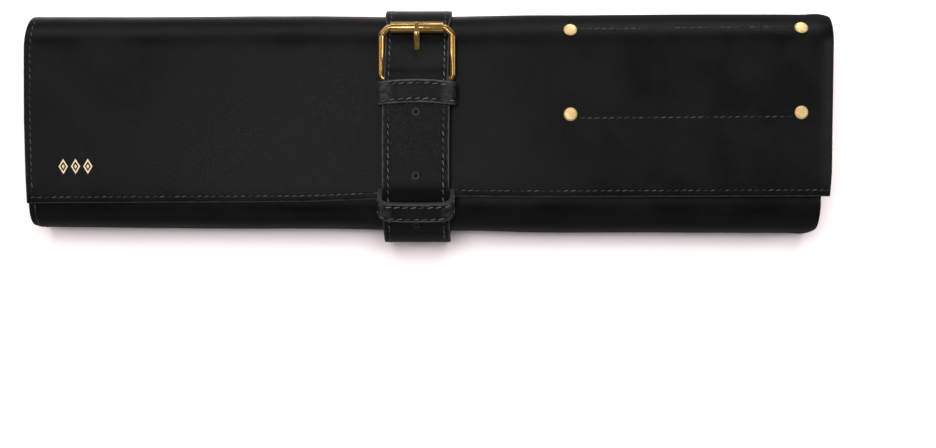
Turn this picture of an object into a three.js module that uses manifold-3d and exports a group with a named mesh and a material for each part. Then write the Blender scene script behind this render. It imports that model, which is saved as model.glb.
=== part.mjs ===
// A chef knife roll: one leather sheet rolled into a flattened spiral and closed by a buckled strap.
// Millimetres. X runs along the roll, -Y is the side of the flap's free edge, and Z is up from the surface.
import * as THREE from 'three';
import { mergeVertices } from 'three/addons/utils/BufferGeometryUtils.js';
import Module from 'manifold-3d';

const wasm = await Module();
wasm.setup();

// Driving dimensions of the roll
const rollLength = 480;
const rollDepth = 131.3;
const rollHeight = 50;
const backCorner = 21; // radius of the two back corners of the section
const frontCorner = 19;
const depthTaper = 3.4; // the right end is this much deeper than the left end
const sheetThickness = 3;
const layerGap = 1.6; // air between two turns of the sheet
const sheetTurns = 2.2;
const flapEdge = 0.4; // the flap's free edge, behind the front corner's start
const flapSkew = 3.4; // how far the free edge runs back from the left end to the right end
const rampStart = 0.78; // share of a turn where the sheet starts to step in by one layer
const rampStartRight = 0.86; // and on the right of the strap, where the front is fuller
const rampChange = 80; // length over which the one becomes the other
const rampEnd = 0.985;
const cinch = 0.6; // how far the strap draws the section in
const cinchMargin = 1.2; // the drawn-in part reaches this far past the keepers
const cinchBlend = 55; // length over which the drawn-in part fades out
const endBlend = 60; // length over which the slant of an end fades out

// Driving dimensions of the strap
const strapWidth = 39.4;
const strapPinch = 2; // how much narrower the strap is squeezed between the buckle's sides
const pinchBlend = 8;
const strapThickness = 3.1;
const skivedThickness = 2; // the end that is folded round the buckle is pared thinner
const strapCentre = -6.5; // its place along the roll
const strapChamfer = 0.5;
const clearance = 0.3; // air between two pieces that touch
const returnLength = 33; // the folded end, from the heel bar forward
const tipTurn = 135; // how far down the front the free end reaches, in degrees from the top
const tipLength = 12;
const tipWidthShare = 0.45;
const holeDiameter = 3.8;
const holePitch = 37.5;
const lastHolePitch = 30;
const easing = 9; // length over which the strap goes from one height to the next
const easeReach = 2; // half the length over which its bends are rounded off
const prongLiftShare = 0.34; // its height at the prong's hole, as a share of its height over the heel bar

// Driving dimensions of the buckle
const heelPlace = 24.85; // the heel bar, behind the roll's middle
const rollerTurn = 23; // the roller lies over the back corner, in degrees from the top
const barDiameter = 4;
const frameInnerWidth = 38.2;
const frameCut = 4.4; // the two cut corners at the back
const frameCutRadius = 2.2;
const frameCornerRadius = 3;
const rollerDiameter = 6.6;
const rollerLength = 31.2;
const rollerChamfer = 0.3;
const prongWidth = 3.4;
const prongTipWidth = 2.4;
const prongThickness = 2.2;
const prongEyeWall = 1.8;
const prongHolePlace = 41.75; // where the prong comes up through the strap, behind the roll's middle
const prongOverhang = 2.6; // how far the tip reaches past the roller's top
const prongTipDrop = 0.7;
const prongEyeDrop = 0.6; // the arm leaves its eye this far below the bar's middle
const prongBend = 5.5; // length of the bends before the hole and before the roller

// Driving dimensions of the keepers
const keeperInnerWidth = 41;
const keeperWall = 2.6;
const keeperTuck = 1.6; // the pared run of a keeper below the strap
const keeperLowRadius = 1;
const fixedKeeperWidth = 13.8;
const fixedKeeperRadius = 1.6;
const fixedKeeperBow = 0.5;
const looseKeeperWidth = 11.6;
const looseKeeperPlace = 0.5; // along the section, behind the front corner's start
const looseKeeperLean = 8.4; // how far forward the front edge of its top lies
const looseKeeperTilt = 30; // degrees
const looseKeeperStand = 3.4; // how far its top stands off the strap at the front edge
const looseKeeperRadius = 4.6;
const looseKeeperBow = 1;

// Driving dimensions of the rivets
const rivetCapDiameter = 8;
const rivetCapHeight = 1.5;
const rivetBevel = 0.8;
const rivetPostDiameter = 3;
const rivetBackDiameter = 6;
const rivetBackHeight = 0.7;
const rivetRow = 49.8; // the front row, behind the flap's free edge
const rivetRowPitch = 50.5;
const rivetColumn = 84.4; // the left pair, right of the roll's middle
const rivetColumnPitch = 136.6;

// Where the two ends of the sheet lie along the section, as shares of the roll's length, outwards positive
const endRows = [
  { turn: 0, left: -0.0033, right: -0.003 },
  { turn: 0.14, left: 0.0018, right: -0.001 },
  { turn: 0.28, left: 0, right: 0.001 },
  { turn: 0.36, left: -0.0022, right: 0.0031 },
  { turn: 0.5, left: -0.002, right: 0.001 },
  { turn: 0.8, left: 0.0031, right: -0.006 },
  { turn: 0.95, left: 0.002, right: -0.008 },
  { turn: 1.2, left: -0.006, right: -0.009 },
  { turn: 2.2, left: -0.012, right: -0.013 },
];

// Sizes worked out from the driving ones
const layerPitch = sheetThickness + layerGap;
const barRadius = barDiameter / 2;
const rollerRadius = rollerDiameter / 2;
const strapRise = strapThickness + clearance;
const cinchHalfWidth = keeperInnerWidth / 2 + keeperWall + cinchMargin;
const flatStart = rollDepth / 2 - frontCorner; // the front end of the flat top, forward of the middle

// Heights of the stacked pieces above the sheet
const returnTop = clearance + skivedThickness;
const fixedTuckTop = returnTop + clearance + keeperTuck;
const looseTuckTop = clearance + keeperTuck;
const barLift = returnTop + clearance + barRadius;
const eyeRadius = barRadius + clearance;
const firstOverBar = barLift + barRadius + clearance;
const freeOverBar = firstOverBar + skivedThickness + clearance;
const firstOnFixed = fixedTuckTop + clearance;
const firstOnLoose = looseTuckTop + clearance;
const freeStep = strapThickness + clearance;

const holeSides = 16;
const turnedSides = 20; // round the rivets and the prong's eye
const radians = THREE.MathUtils.degToRad;
const lerp = THREE.MathUtils.lerp;
const smooth = (share) => THREE.MathUtils.smoothstep(share, 0, 1);
const quarter = Math.PI / 2;

// The section is a loop of straights and corner arcs that starts at the flap and runs back over the top.
const cornerOf = {
  topFront: (s) => ({ y: -s.half + frontCorner, z: s.top - frontCorner, radius: frontCorner }),
  topBack: (s) => ({ y: s.half - backCorner, z: s.top - backCorner, radius: backCorner }),
  lowBack: (s) => ({ y: s.half - backCorner, z: s.bottom + backCorner, radius: backCorner }),
  lowFront: (s) => ({ y: -s.half + frontCorner, z: s.bottom + frontCorner, radius: frontCorner }),
};
const loopParts = [
  { from: 'topFront', to: 'topBack', start: 90, end: 90, steps: 5 },
  { from: 'topBack', to: 'topBack', start: 90, end: 0, steps: 6 },
  { from: 'topBack', to: 'lowBack', start: 0, end: 0, steps: 1 },
  { from: 'lowBack', to: 'lowBack', start: 0, end: -90, steps: 5 },
  { from: 'lowBack', to: 'lowFront', start: -90, end: -90, steps: 4 },
  { from: 'lowFront', to: 'lowFront', start: -90, end: -180, steps: 5 },
  { from: 'lowFront', to: 'topFront', start: -180, end: -180, steps: 1 },
  { from: 'topFront', to: 'topFront', start: -180, end: -270, steps: 6 },
];
const plainSection = { bottom: 0, top: rollHeight, half: rollDepth / 2 };
for (const part of loopParts) {
  const a = cornerOf[part.from](plainSection);
  const b = cornerOf[part.to](plainSection);
  const upright = part.start === 0 || part.start === -180;
  const straight = upright ? Math.abs(b.z - a.z) : Math.abs(b.y - a.y);
  part.length = part.start === part.end ? straight : a.radius * quarter;
}
const loopLength = loopParts.reduce((sum, part) => sum + part.length, 0);
const partStart = (index) => loopParts.slice(0, index).reduce((sum, part) => sum + part.length, 0);
const backCornerStart = partStart(1);
const topAt = (y) => y + flatStart;

// The section's sizes at a place along the roll: deeper to the right, drawn in and raised under the strap
function sectionAt(x) {
  const away = Math.abs(x - strapCentre) - cinchHalfWidth;
  const pull = 1 - smooth(away / cinchBlend);
  const taper = (depthTaper / 2) * (x / rollLength);
  return {
    bottom: strapRise * pull,
    top: rollHeight - cinch * pull,
    half: rollDepth / 2 + taper - cinch * pull,
  };
}

// A point of the section at the distance along the loop, lifted off it along its outward normal
function loopPoint(section, along, lift) {
  let rest = ((along % loopLength) + loopLength) % loopLength;
  let index = 0;
  while (index < loopParts.length - 1 && rest > loopParts[index].length) {
    rest -= loopParts[index].length;
    index += 1;
  }
  const part = loopParts[index];
  const share = rest / part.length;
  const a = cornerOf[part.from](section);
  const b = cornerOf[part.to](section);
  const angle = radians(lerp(part.start, part.end, share));
  const reach = lerp(a.radius, b.radius, share) + lift;
  return {
    y: lerp(a.y, b.y, share) + reach * Math.cos(angle),
    z: lerp(a.z, b.z, share) + reach * Math.sin(angle),
    angle,
  };
}

// Straight-line values between the rows of a table
function tableValue(rows, place, column, at) {
  if (at <= rows[0][place]) return rows[0][column];
  for (let i = 1; i < rows.length; i += 1) {
    if (at <= rows[i][place]) {
      const share = (at - rows[i - 1][place]) / (rows[i][place] - rows[i - 1][place]);
      return lerp(rows[i - 1][column], rows[i][column], share);
    }
  }
  return rows[rows.length - 1][column];
}

// Joins equal rings of points into one closed body. An open row of rings gets an end face at both ends.
function loft(rings, closed) {
  const size = rings[0].length;
  const positions = rings.flat().flatMap((point) => [point.x, point.y, point.z]);
  const faces = [];
  const quad = (a, b, c, d) => faces.push(a, b, c, a, c, d);
  const count = closed ? rings.length : rings.length - 1;
  for (let i = 0; i < count; i += 1) {
    const here = i * size;
    const next = ((i + 1) % rings.length) * size;
    for (let k = 0; k < size; k += 1) {
      const l = (k + 1) % size;
      quad(here + k, here + l, next + l, next + k);
    }
  }
  if (!closed) {
    const last = (rings.length - 1) * size;
    for (let k = 0; k < size / 2 - 1; k += 1) {
      quad(k, size - 1 - k, size - 2 - k, k + 1);
      quad(last + k, last + k + 1, last + size - 2 - k, last + size - 1 - k);
    }
  }
  const geometry = new THREE.BufferGeometry();
  geometry.setAttribute('position', new THREE.Float32BufferAttribute(positions, 3));
  geometry.setIndex(faces);
  return facingOut(geometry);
}

// Turns a closed body's faces outwards
function facingOut(geometry) {
  const place = geometry.getAttribute('position');
  const index = geometry.getIndex();
  const corner = [0, 1, 2].map(() => new THREE.Vector3());
  let volume = 0;
  for (let i = 0; i < index.count; i += 3) {
    corner.forEach((v, k) => v.fromBufferAttribute(place, index.getX(i + k)));
    volume += corner[0].dot(corner[1].cross(corner[2]));
  }
  if (volume < 0) {
    for (let i = 0; i < index.count; i += 3) {
      const second = index.getX(i + 1);
      index.setX(i + 1, index.getX(i + 2));
      index.setX(i + 2, second);
    }
  }
  return geometry;
}

// A geometry as a solid that can be joined and cut, and back
function solidOf(geometry, matrix = new THREE.Matrix4()) {
  const placed = geometry.clone().applyMatrix4(matrix);
  placed.deleteAttribute('normal');
  placed.deleteAttribute('uv');
  const merged = mergeVertices(placed, 1e-4);
  const mesh = new wasm.Mesh({
    numProp: 3,
    vertProperties: Float32Array.from(merged.getAttribute('position').array),
    triVerts: Uint32Array.from(merged.getIndex().array),
  });
  return new wasm.Manifold(mesh);
}

function geometryOf(solid) {
  const mesh = solid.getMesh();
  const geometry = new THREE.BufferGeometry();
  geometry.setAttribute('position', new THREE.BufferAttribute(mesh.vertProperties, 3));
  geometry.setIndex(new THREE.BufferAttribute(mesh.triVerts, 1));
  return geometry;
}

// A cylinder whose axis lies across the roll's section at the angle, for round cuts through leather
function drill(radius, depth, x, centre) {
  const turn = new THREE.Matrix4().makeRotationX(centre.angle - quarter);
  const upright = new THREE.Matrix4().makeRotationX(quarter);
  const matrix = new THREE.Matrix4().makeTranslation(x, centre.y, centre.z).multiply(turn).multiply(upright);
  return solidOf(new THREE.CylinderGeometry(radius, radius, depth, holeSides), matrix);
}

// The sheet: how far it has stepped in towards the core
function layerOffset(x, along) {
  const turn = along / loopLength;
  const whole = Math.floor(turn);
  const toRight = smooth((x - strapCentre + rampChange) / rampChange);
  const start = lerp(rampStart, rampStartRight, toRight);
  return layerPitch * (whole + smooth((turn - whole - start) / (rampEnd - start)));
}

const flapEdgeAt = (x) => flapEdge + (flapSkew / 2) * (x / (rollLength / 2));

// Slants the sheet's two ends, with the slant fading out along the roll
function endShift(x, along) {
  const turn = along / loopLength;
  const leftFade = Math.max(0, 1 - (x + rollLength / 2) / endBlend);
  const rightFade = Math.max(0, 1 - (rollLength / 2 - x) / endBlend);
  const left = -tableValue(endRows, 'turn', 'left', turn) * leftFade;
  const right = tableValue(endRows, 'turn', 'right', turn) * rightFade;
  return rollLength * (left + right);
}

function sheetPoint(x, along, depth) {
  const point = loopPoint(sectionAt(x), along, -layerOffset(x, along) - depth);
  return new THREE.Vector3(x + endShift(x, along), point.y, point.z);
}

function sheetStations() {
  const edge = cinchHalfWidth;
  const stops = [-rollLength / 2, strapCentre - edge - cinchBlend, strapCentre - edge];
  stops.push(strapCentre + edge, strapCentre + edge + cinchBlend, rollLength / 2);
  const steps = [3, 5, 1, 5, 3];
  const stations = [stops[0]];
  steps.forEach((count, k) => {
    for (let i = 1; i <= count; i += 1) stations.push(lerp(stops[k], stops[k + 1], i / count));
  });
  return stations;
}

function sheetPlaces() {
  const end = sheetTurns * loopLength;
  const places = [];
  for (let turn = 0; turn < Math.ceil(sheetTurns); turn += 1) {
    let start = turn * loopLength;
    for (const part of loopParts) {
      for (let i = 0; i < part.steps; i += 1) places.push(start + (part.length * i) / part.steps);
      start += part.length;
    }
  }
  return [...places.filter((along) => along < end - sheetThickness / 2), end];
}

function rollPanel() {
  const stations = sheetStations();
  const rings = sheetPlaces().map((along, i) => {
    const at = (x) => (i === 0 ? flapEdgeAt(x) : along);
    const outer = stations.map((x) => sheetPoint(x, at(x), 0));
    const inner = stations.map((x) => sheetPoint(x, at(x), sheetThickness));
    return [...outer, ...inner.reverse()];
  });
  let solid = solidOf(loft(rings, false));
  for (const rivet of rivetPlaces()) {
    const middle = loopPoint(rivet.section, rivet.along, -sheetThickness / 2);
    const hole = rivetPostDiameter / 2 + clearance;
    solid = solid.subtract(drill(hole, sheetThickness + 1, rivet.x, middle));
  }
  return geometryOf(solid);
}

// The strap: heights of its underside above the sheet, first lap (under) and free end (over)
const loopPerDegree = (corner) => (corner * quarter) / 90;
const rollerAlong = backCornerStart + rollerTurn * loopPerDegree(backCorner);
const heelAlong = topAt(heelPlace);
const fixedKeeperPlace = heelPlace - barRadius - clearance - fixedKeeperWidth / 2;
const fixedFront = topAt(fixedKeeperPlace - fixedKeeperWidth / 2);
const fixedBack = topAt(fixedKeeperPlace + fixedKeeperWidth / 2);
const looseFront = looseKeeperPlace - looseKeeperWidth / 2;
const looseBack = looseKeeperPlace + looseKeeperWidth / 2;
const firstRows = [
  { along: looseFront - easing, lift: clearance, thickness: strapThickness },
  { along: looseFront - easeReach, lift: firstOnLoose, thickness: strapThickness },
  { along: looseBack + easeReach, lift: firstOnLoose, thickness: strapThickness },
  { along: fixedFront - easeReach, lift: firstOnFixed, thickness: strapThickness },
  { along: fixedBack, lift: firstOverBar - clearance, thickness: skivedThickness },
  { along: heelAlong, lift: firstOverBar, thickness: skivedThickness },
];
const prongAlong = topAt(prongHolePlace);
const freeRows = [
  { along: looseFront - easing, lift: clearance + freeStep },
  { along: looseFront - easeReach, lift: firstOnLoose + freeStep },
  { along: looseBack + easeReach, lift: firstOnLoose + freeStep },
  { along: fixedFront - easeReach, lift: firstOnFixed + freeStep },
  { along: fixedBack, lift: freeOverBar },
  { along: heelAlong + barDiameter, lift: freeOverBar },
  { along: prongAlong, lift: freeOverBar * prongLiftShare },
  { along: rollerAlong - rollerRadius, lift: clearance },
];

// A table's value with its corners rounded off
function eased(rows, column, along) {
  const steps = [-1, -0.5, 0, 0.5, 1];
  const value = (k) => tableValue(rows, 'along', column, along + k * easeReach);
  return steps.reduce((sum, k) => sum + value(k), 0) / steps.length;
}
const freeLift = (along) => eased(freeRows, 'lift', along);
const waist = sectionAt(strapCentre);

const heel = { y: heelPlace, z: waist.top + barLift };
const roller = loopPoint(waist, rollerAlong, strapRise + clearance + rollerRadius);

// The strap's middle line from the free tip to the end of the folded part
function strapPath() {
  const steps = 80;
  const step = loopLength / steps;
  const tipCorner = (tipTurn - 90) * loopPerDegree(frontCorner);
  const tip = -(partStart(8) - partStart(6)) - tipCorner;
  const path = [];
  const add = (along, lift, thickness) => {
    const point = loopPoint(waist, along, lift + thickness / 2);
    path.push({ y: point.y, z: point.z, thickness, along });
  };
  add(tip, freeLift(tip), strapThickness);
  for (let i = Math.ceil(tip / step) + 1; i * step < rollerAlong + step; i += 1) {
    add(i * step, freeLift(i * step), strapThickness);
  }
  const lapEnd = loopLength + heelAlong;
  for (let along = path[path.length - 1].along + step; along < lapEnd - step / 2; along += step) {
    const place = along - loopLength;
    add(along, eased(firstRows, 'lift', place), eased(firstRows, 'thickness', place));
  }
  const foldRadius = eyeRadius + skivedThickness / 2;
  const foldSteps = 8;
  for (let i = 0; i <= foldSteps; i += 1) {
    const angle = quarter - (Math.PI * i) / foldSteps;
    const y = heel.y + foldRadius * Math.cos(angle);
    path.push({ y, z: heel.z + foldRadius * Math.sin(angle), thickness: skivedThickness });
  }
  const returnSteps = 3;
  for (let i = 1; i <= returnSteps; i += 1) {
    const y = heel.y - (returnLength * i) / returnSteps;
    path.push({ y, z: heel.z - foldRadius, thickness: skivedThickness });
  }
  return path;
}

// Adds each point's outward direction and its distance along the path
function withDirections(path) {
  let walked = 0;
  return path.map((point, i) => {
    const before = path[Math.max(0, i - 1)];
    const after = path[Math.min(path.length - 1, i + 1)];
    walked += Math.hypot(point.y - before.y, point.z - before.z);
    const angle = Math.atan2(after.z - before.z, after.y - before.y) + quarter;
    return { ...point, angle, walked };
  });
}

// A flat bar's section with chamfered edges, centred on a path point
function beltRing(point, x, width, grow = 0) {
  const w = width / 2 + grow;
  const t = point.thickness / 2 + grow;
  const c = Math.min(strapChamfer, t / 2);
  const corners = [[-w, t - c], [-w + c, t], [w - c, t], [w, t - c]];
  corners.push([w, c - t], [w - c, -t], [c - w, -t], [-w, c - t]);
  return corners.map(([across, up]) => {
    const y = point.y + up * Math.cos(point.angle);
    return new THREE.Vector3(x + across, y, point.z + up * Math.sin(point.angle));
  });
}

// The strap is narrower at its rounded tip, and where it runs between the buckle's sides
function strapWidthAt(point) {
  const share = Math.min(1, point.walked / tipLength);
  const round = Math.sqrt(1 - (1 - share) ** 2);
  const along = point.along ?? loopLength + heelAlong;
  const place = along > loopLength / 2 ? along - loopLength : along;
  const intoBuckle = smooth((place - fixedBack + pinchBlend) / pinchBlend);
  const past = smooth((along - rollerAlong - rollerRadius) / pinchBlend);
  const pinch = along > loopLength / 2 ? intoBuckle : intoBuckle * (1 - past);
  return strapWidth * lerp(tipWidthShare, 1, round) - strapPinch * pinch;
}

function strap() {
  const path = withDirections(strapPath());
  const rings = path.map((point) => beltRing(point, strapCentre, strapWidthAt(point)));
  let solid = solidOf(loft(rings, false));
  const free = path.filter((point) => point.along < loopLength / 2);
  const walkedAt = (along) => tableValue(free, 'along', 'walked', along);
  const start = walkedAt(prongAlong);
  const spots = [start + holePitch, start - holePitch, start - 2 * holePitch];
  spots.push(start - 2 * holePitch - lastHolePitch);
  for (const spot of spots) {
    const centre = {};
    for (const column of ['y', 'z', 'angle']) centre[column] = tableValue(free, 'walked', column, spot);
    solid = solid.subtract(drill(holeDiameter / 2, strapThickness + clearance, strapCentre, centre));
  }
  return geometryOf(solid.subtract(prongSlot()).subtract(prongArm(clearance)));
}

// The slot through the folded leather that lets the prong's eye turn on the heel bar
function prongSlot() {
  const length = 2 * (eyeRadius + prongEyeWall + clearance) + barRadius;
  const height = freeOverBar - clearance / 2;
  const slot = new THREE.BoxGeometry(prongWidth + 2 * clearance, length, height);
  return solidOf(slot, new THREE.Matrix4().makeTranslation(strapCentre, heel.y, waist.top + height / 2));
}

// The buckle's prong: an eye round the heel bar and an arm up through the strap to the roller
function prongArm(grow) {
  const half = prongThickness / 2;
  const under = prongHolePlace - prongBend;
  const hole = loopPoint(waist, prongAlong, freeLift(prongAlong) + strapThickness / 2);
  const overRoller = roller.z + rollerRadius + 1.5 * clearance + half;
  const line = new THREE.CatmullRomCurve3([
    new THREE.Vector3(0, heel.y + eyeRadius + prongEyeWall / 2, heel.z - prongEyeDrop),
    new THREE.Vector3(0, under, waist.top + freeLift(topAt(under)) - clearance - half),
    new THREE.Vector3(0, hole.y, hole.z),
    new THREE.Vector3(0, roller.y - prongBend, overRoller),
    new THREE.Vector3(0, roller.y, overRoller),
    new THREE.Vector3(0, roller.y + prongOverhang, overRoller - prongTipDrop),
  ]);
  const points = line.getSpacedPoints(16).map((p) => ({ y: p.y, z: p.z, thickness: prongThickness }));
  const rings = withDirections(points).map((point) => {
    const near = smooth((point.y - roller.y + rollerRadius) / prongThickness);
    return beltRing(point, strapCentre, lerp(prongWidth, prongTipWidth, near), grow);
  });
  return solidOf(loft(rings, false));
}

function tube(inner, outer, length, chamfer, sides) {
  const h = length / 2;
  const profile = [[inner, -h], [outer - chamfer, -h], [outer, chamfer - h], [outer, h - chamfer]];
  profile.push([outer - chamfer, h], [inner, h], [inner, -h]);
  return new THREE.LatheGeometry(profile.map(([x, y]) => new THREE.Vector2(x, y)), sides);
}

const alongX = new THREE.Matrix4().makeRotationZ(-quarter);

function buckleProng() {
  const eye = tube(eyeRadius, eyeRadius + prongEyeWall, prongWidth, rollerChamfer, turnedSides);
  const place = new THREE.Matrix4().makeTranslation(strapCentre, heel.y, heel.z).multiply(alongX);
  const bore = new THREE.CylinderGeometry(eyeRadius, eyeRadius, 2 * prongWidth, turnedSides);
  return geometryOf(solidOf(eye, place).add(prongArm(0)).subtract(solidOf(bore, place)));
}

function buckleRoller() {
  return tube(eyeRadius, rollerRadius, rollerLength, rollerChamfer, turnedSides).applyMatrix4(alongX);
}

// A closed round bar: a flat outline with rounded corners, and a ring of points round it at each step
function buckleFrame() {
  const side = frameInnerWidth / 2 + barRadius;
  const length = Math.hypot(roller.y - heel.y, roller.z - heel.z);
  const tilt = Math.atan2(roller.z - heel.z, roller.y - heel.y);
  const corners = [[-side, 0], [side, 0], [side, length - frameCut], [side - frameCut, length]];
  corners.push([frameCut - side, length], [-side, length - frameCut]);
  const outline = [];
  const cornerSteps = 4;
  corners.forEach((corner, i) => {
    const here = new THREE.Vector2(...corner);
    const back = new THREE.Vector2(...corners.at(i - 1)).sub(here).normalize();
    const on = new THREE.Vector2(...corners[(i + 1) % corners.length]).sub(here).normalize();
    const turn = Math.PI - Math.acos(back.dot(on));
    const radius = corner[1] === 0 ? frameCornerRadius : frameCutRadius;
    const cut = radius * Math.tan(turn / 2);
    const curve = new THREE.QuadraticBezierCurve(
      here.clone().addScaledVector(back, cut), here, here.clone().addScaledVector(on, cut));
    outline.push(...curve.getPoints(cornerSteps));
  });
  const sides = 10;
  const rings = outline.map((point, i) => {
    const before = outline.at(i - 1);
    const after = outline[(i + 1) % outline.length];
    const outward = new THREE.Vector2(after.y - before.y, before.x - after.x).normalize();
    return Array.from({ length: sides }, (_, k) => {
      const angle = (2 * Math.PI * k) / sides;
      const across = barRadius * Math.cos(angle);
      const up = barRadius * Math.sin(angle);
      const along = point.y + outward.y * across;
      const y = heel.y + along * Math.cos(tilt) - up * Math.sin(tilt);
      const z = heel.z + along * Math.sin(tilt) + up * Math.cos(tilt);
      return new THREE.Vector3(strapCentre + point.x + outward.x * across, y, z);
    });
  });
  return loft(rings, true);
}

// A keeper's inner outline: across the strap, and up from its lower run, with the outward direction
function keeperOutline(height, topRadius, bow) {
  const half = keeperInnerWidth / 2;
  const outline = [];
  const arc = (x, h, radius, start, steps) => {
    for (let i = 0; i <= steps; i += 1) {
      const angle = radians(start + (90 * i) / steps);
      outline.push({ x: x + radius * Math.cos(angle), h: h + radius * Math.sin(angle), angle });
    }
  };
  arc(keeperLowRadius - half, keeperLowRadius, keeperLowRadius, 180, 2);
  arc(half - keeperLowRadius, keeperLowRadius, keeperLowRadius, 270, 2);
  const topSteps = 4;
  arc(half - topRadius, height - topRadius, topRadius, 0, topSteps);
  arc(topRadius - half, height - topRadius, topRadius, 90, topSteps);
  const crownSteps = 4;
  const crown = [];
  for (let i = 1; i < crownSteps; i += 1) {
    crown.push({ x: lerp(half - topRadius, topRadius - half, i / crownSteps), h: height, angle: quarter });
  }
  outline.splice(-topSteps - 1, 0, ...crown);
  return outline.map((point) => {
    const lift = point.h > height / 2 ? bow * (1 - (point.x / half) ** 2) - bow : 0;
    return { ...point, h: point.h + lift };
  });
}

// A leather loop: for each place across its width, its outline stands on the low line and reaches the top line
function keeper(lowLine, topLine, topRadius, bow) {
  const places = [0, 0.25, 0.5, 0.75, 1];
  const slices = places.map((share) => {
    const low = lowLine(share);
    const top = topLine(share);
    const height = Math.hypot(top.y - low.y, top.z - low.z);
    const up = { y: (top.y - low.y) / height, z: (top.z - low.z) / height };
    const place = (x, h) => new THREE.Vector3(strapCentre + x, low.y + up.y * h, low.z + up.z * h);
    return keeperOutline(height, topRadius, bow).map((point) => {
      const down = Math.max(0, -Math.sin(point.angle));
      const wall = lerp(keeperWall, keeperTuck, down);
      const outX = point.x + wall * Math.cos(point.angle);
      return { inner: place(point.x, point.h), outer: place(outX, point.h + wall * Math.sin(point.angle)) };
    });
  });
  const rings = slices[0].map((_, i) => {
    const outer = slices.map((slice) => slice[i].outer);
    const inner = slices.map((slice) => slice[i].inner);
    return [...outer, ...inner.reverse()];
  });
  return loft(rings, true);
}

function fixedKeeper() {
  const along = (share) => lerp(fixedFront, fixedBack, share);
  const low = (share) => loopPoint(waist, along(share), fixedTuckTop);
  const topLift = (place) => freeLift(place) + freeStep + fixedKeeperBow + clearance;
  const top = (share) => loopPoint(waist, along(share), topLift(along(share)));
  const loop = keeper(low, top, fixedKeeperRadius, fixedKeeperBow);
  return geometryOf(solidOf(loop).subtract(prongSlot()));
}

function looseKeeper() {
  const frontAlong = looseKeeperPlace - looseKeeperLean;
  const front = loopPoint(waist, frontAlong, freeLift(frontAlong) + strapThickness + looseKeeperStand);
  const tilt = radians(looseKeeperTilt);
  const low = (share) => loopPoint(waist, lerp(looseFront, looseBack, share), looseTuckTop);
  const top = (share) => {
    const run = looseKeeperWidth * share;
    return { y: front.y + run * Math.cos(tilt), z: front.z + run * Math.sin(tilt) };
  };
  return keeper(low, top, looseKeeperRadius, looseKeeperBow);
}

// Rivets through the flap, square to it
function rivetPlaces() {
  const places = [];
  for (const row of [0, 1]) {
    for (const column of [0, 1]) {
      const x = rivetColumn + column * rivetColumnPitch;
      const along = flapEdgeAt(x) + rivetRow + row * rivetRowPitch;
      places.push({ x, along, section: sectionAt(x) });
    }
  }
  return places;
}

function rivetGeometry() {
  const cap = rivetCapDiameter / 2;
  const post = rivetPostDiameter / 2;
  const back = rivetBackDiameter / 2;
  const sag = back ** 2 / (2 * (backCorner - sheetThickness)); // the sheet curves away below the flat back cap
  const backTop = -sheetThickness - clearance - sag;
  const profile = [
    [0, backTop - rivetBackHeight], [back, backTop - rivetBackHeight], [back, backTop], [post, backTop],
    [post, clearance], [cap, clearance], [cap, clearance + rivetCapHeight - rivetBevel],
    [cap - rivetBevel, clearance + rivetCapHeight], [0, clearance + rivetCapHeight],
  ];
  return new THREE.LatheGeometry(profile.map(([x, y]) => new THREE.Vector2(x, y)), turnedSides);
}

const leather = { color: 0x151517, roughness: 0.5, metalness: 0 };
const brass = { color: 0xb58b43, roughness: 0.3, metalness: 1 };

const group = new THREE.Group();
function addPiece(name, geometry, look) {
  const mesh = new THREE.Mesh(geometry, new THREE.MeshStandardMaterial(look));
  mesh.name = name;
  group.add(mesh);
  return mesh;
}

addPiece('roll_panel', rollPanel(), leather);
addPiece('strap', strap(), leather);
addPiece('fixed_keeper', fixedKeeper(), leather);
addPiece('loose_keeper', looseKeeper(), leather);
addPiece('buckle_frame', buckleFrame(), brass);
addPiece('buckle_prong', buckleProng(), brass);
addPiece('buckle_roller', buckleRoller(), brass).position.set(strapCentre, roller.y, roller.z);
rivetPlaces().forEach((place, i) => {
  const spot = loopPoint(place.section, place.along, 0);
  const rivet = addPiece(`rivet_${i + 1}`, rivetGeometry(), brass);
  rivet.position.set(place.x, spot.y, spot.z);
  rivet.rotation.x = spot.angle;
});

// The origin lies on the surface, below the middle of the whole
group.updateMatrixWorld(true);
const box = new THREE.Box3().setFromObject(group, true);
const middle = box.getCenter(new THREE.Vector3());
group.position.set(-middle.x, -middle.y, -box.min.z);

export default group;
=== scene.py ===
# Looks for the chef knife roll: black leather roll, buckled strap, brass fittings. Metres, Z up.
from math import atan2, copysign, cos, exp, floor, hypot, pi, radians, sin, sqrt, tan
import bpy
import bmesh
from mathutils import Matrix, Vector, noise


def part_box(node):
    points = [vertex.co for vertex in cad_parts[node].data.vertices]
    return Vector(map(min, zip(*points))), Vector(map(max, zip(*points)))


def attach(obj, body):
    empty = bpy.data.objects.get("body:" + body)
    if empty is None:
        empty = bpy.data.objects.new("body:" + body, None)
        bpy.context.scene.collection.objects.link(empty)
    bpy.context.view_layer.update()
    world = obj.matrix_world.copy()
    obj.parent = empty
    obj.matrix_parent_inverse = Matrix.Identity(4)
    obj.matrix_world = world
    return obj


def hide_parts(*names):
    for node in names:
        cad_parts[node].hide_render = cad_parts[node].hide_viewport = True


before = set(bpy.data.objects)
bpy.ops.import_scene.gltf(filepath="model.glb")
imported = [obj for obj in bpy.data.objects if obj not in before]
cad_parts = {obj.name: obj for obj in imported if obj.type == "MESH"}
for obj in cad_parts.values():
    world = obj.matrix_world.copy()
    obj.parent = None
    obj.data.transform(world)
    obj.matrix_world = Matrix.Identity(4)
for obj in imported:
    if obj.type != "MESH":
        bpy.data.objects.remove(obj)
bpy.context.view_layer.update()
mm = 0.001
print("frame loaded")

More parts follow.
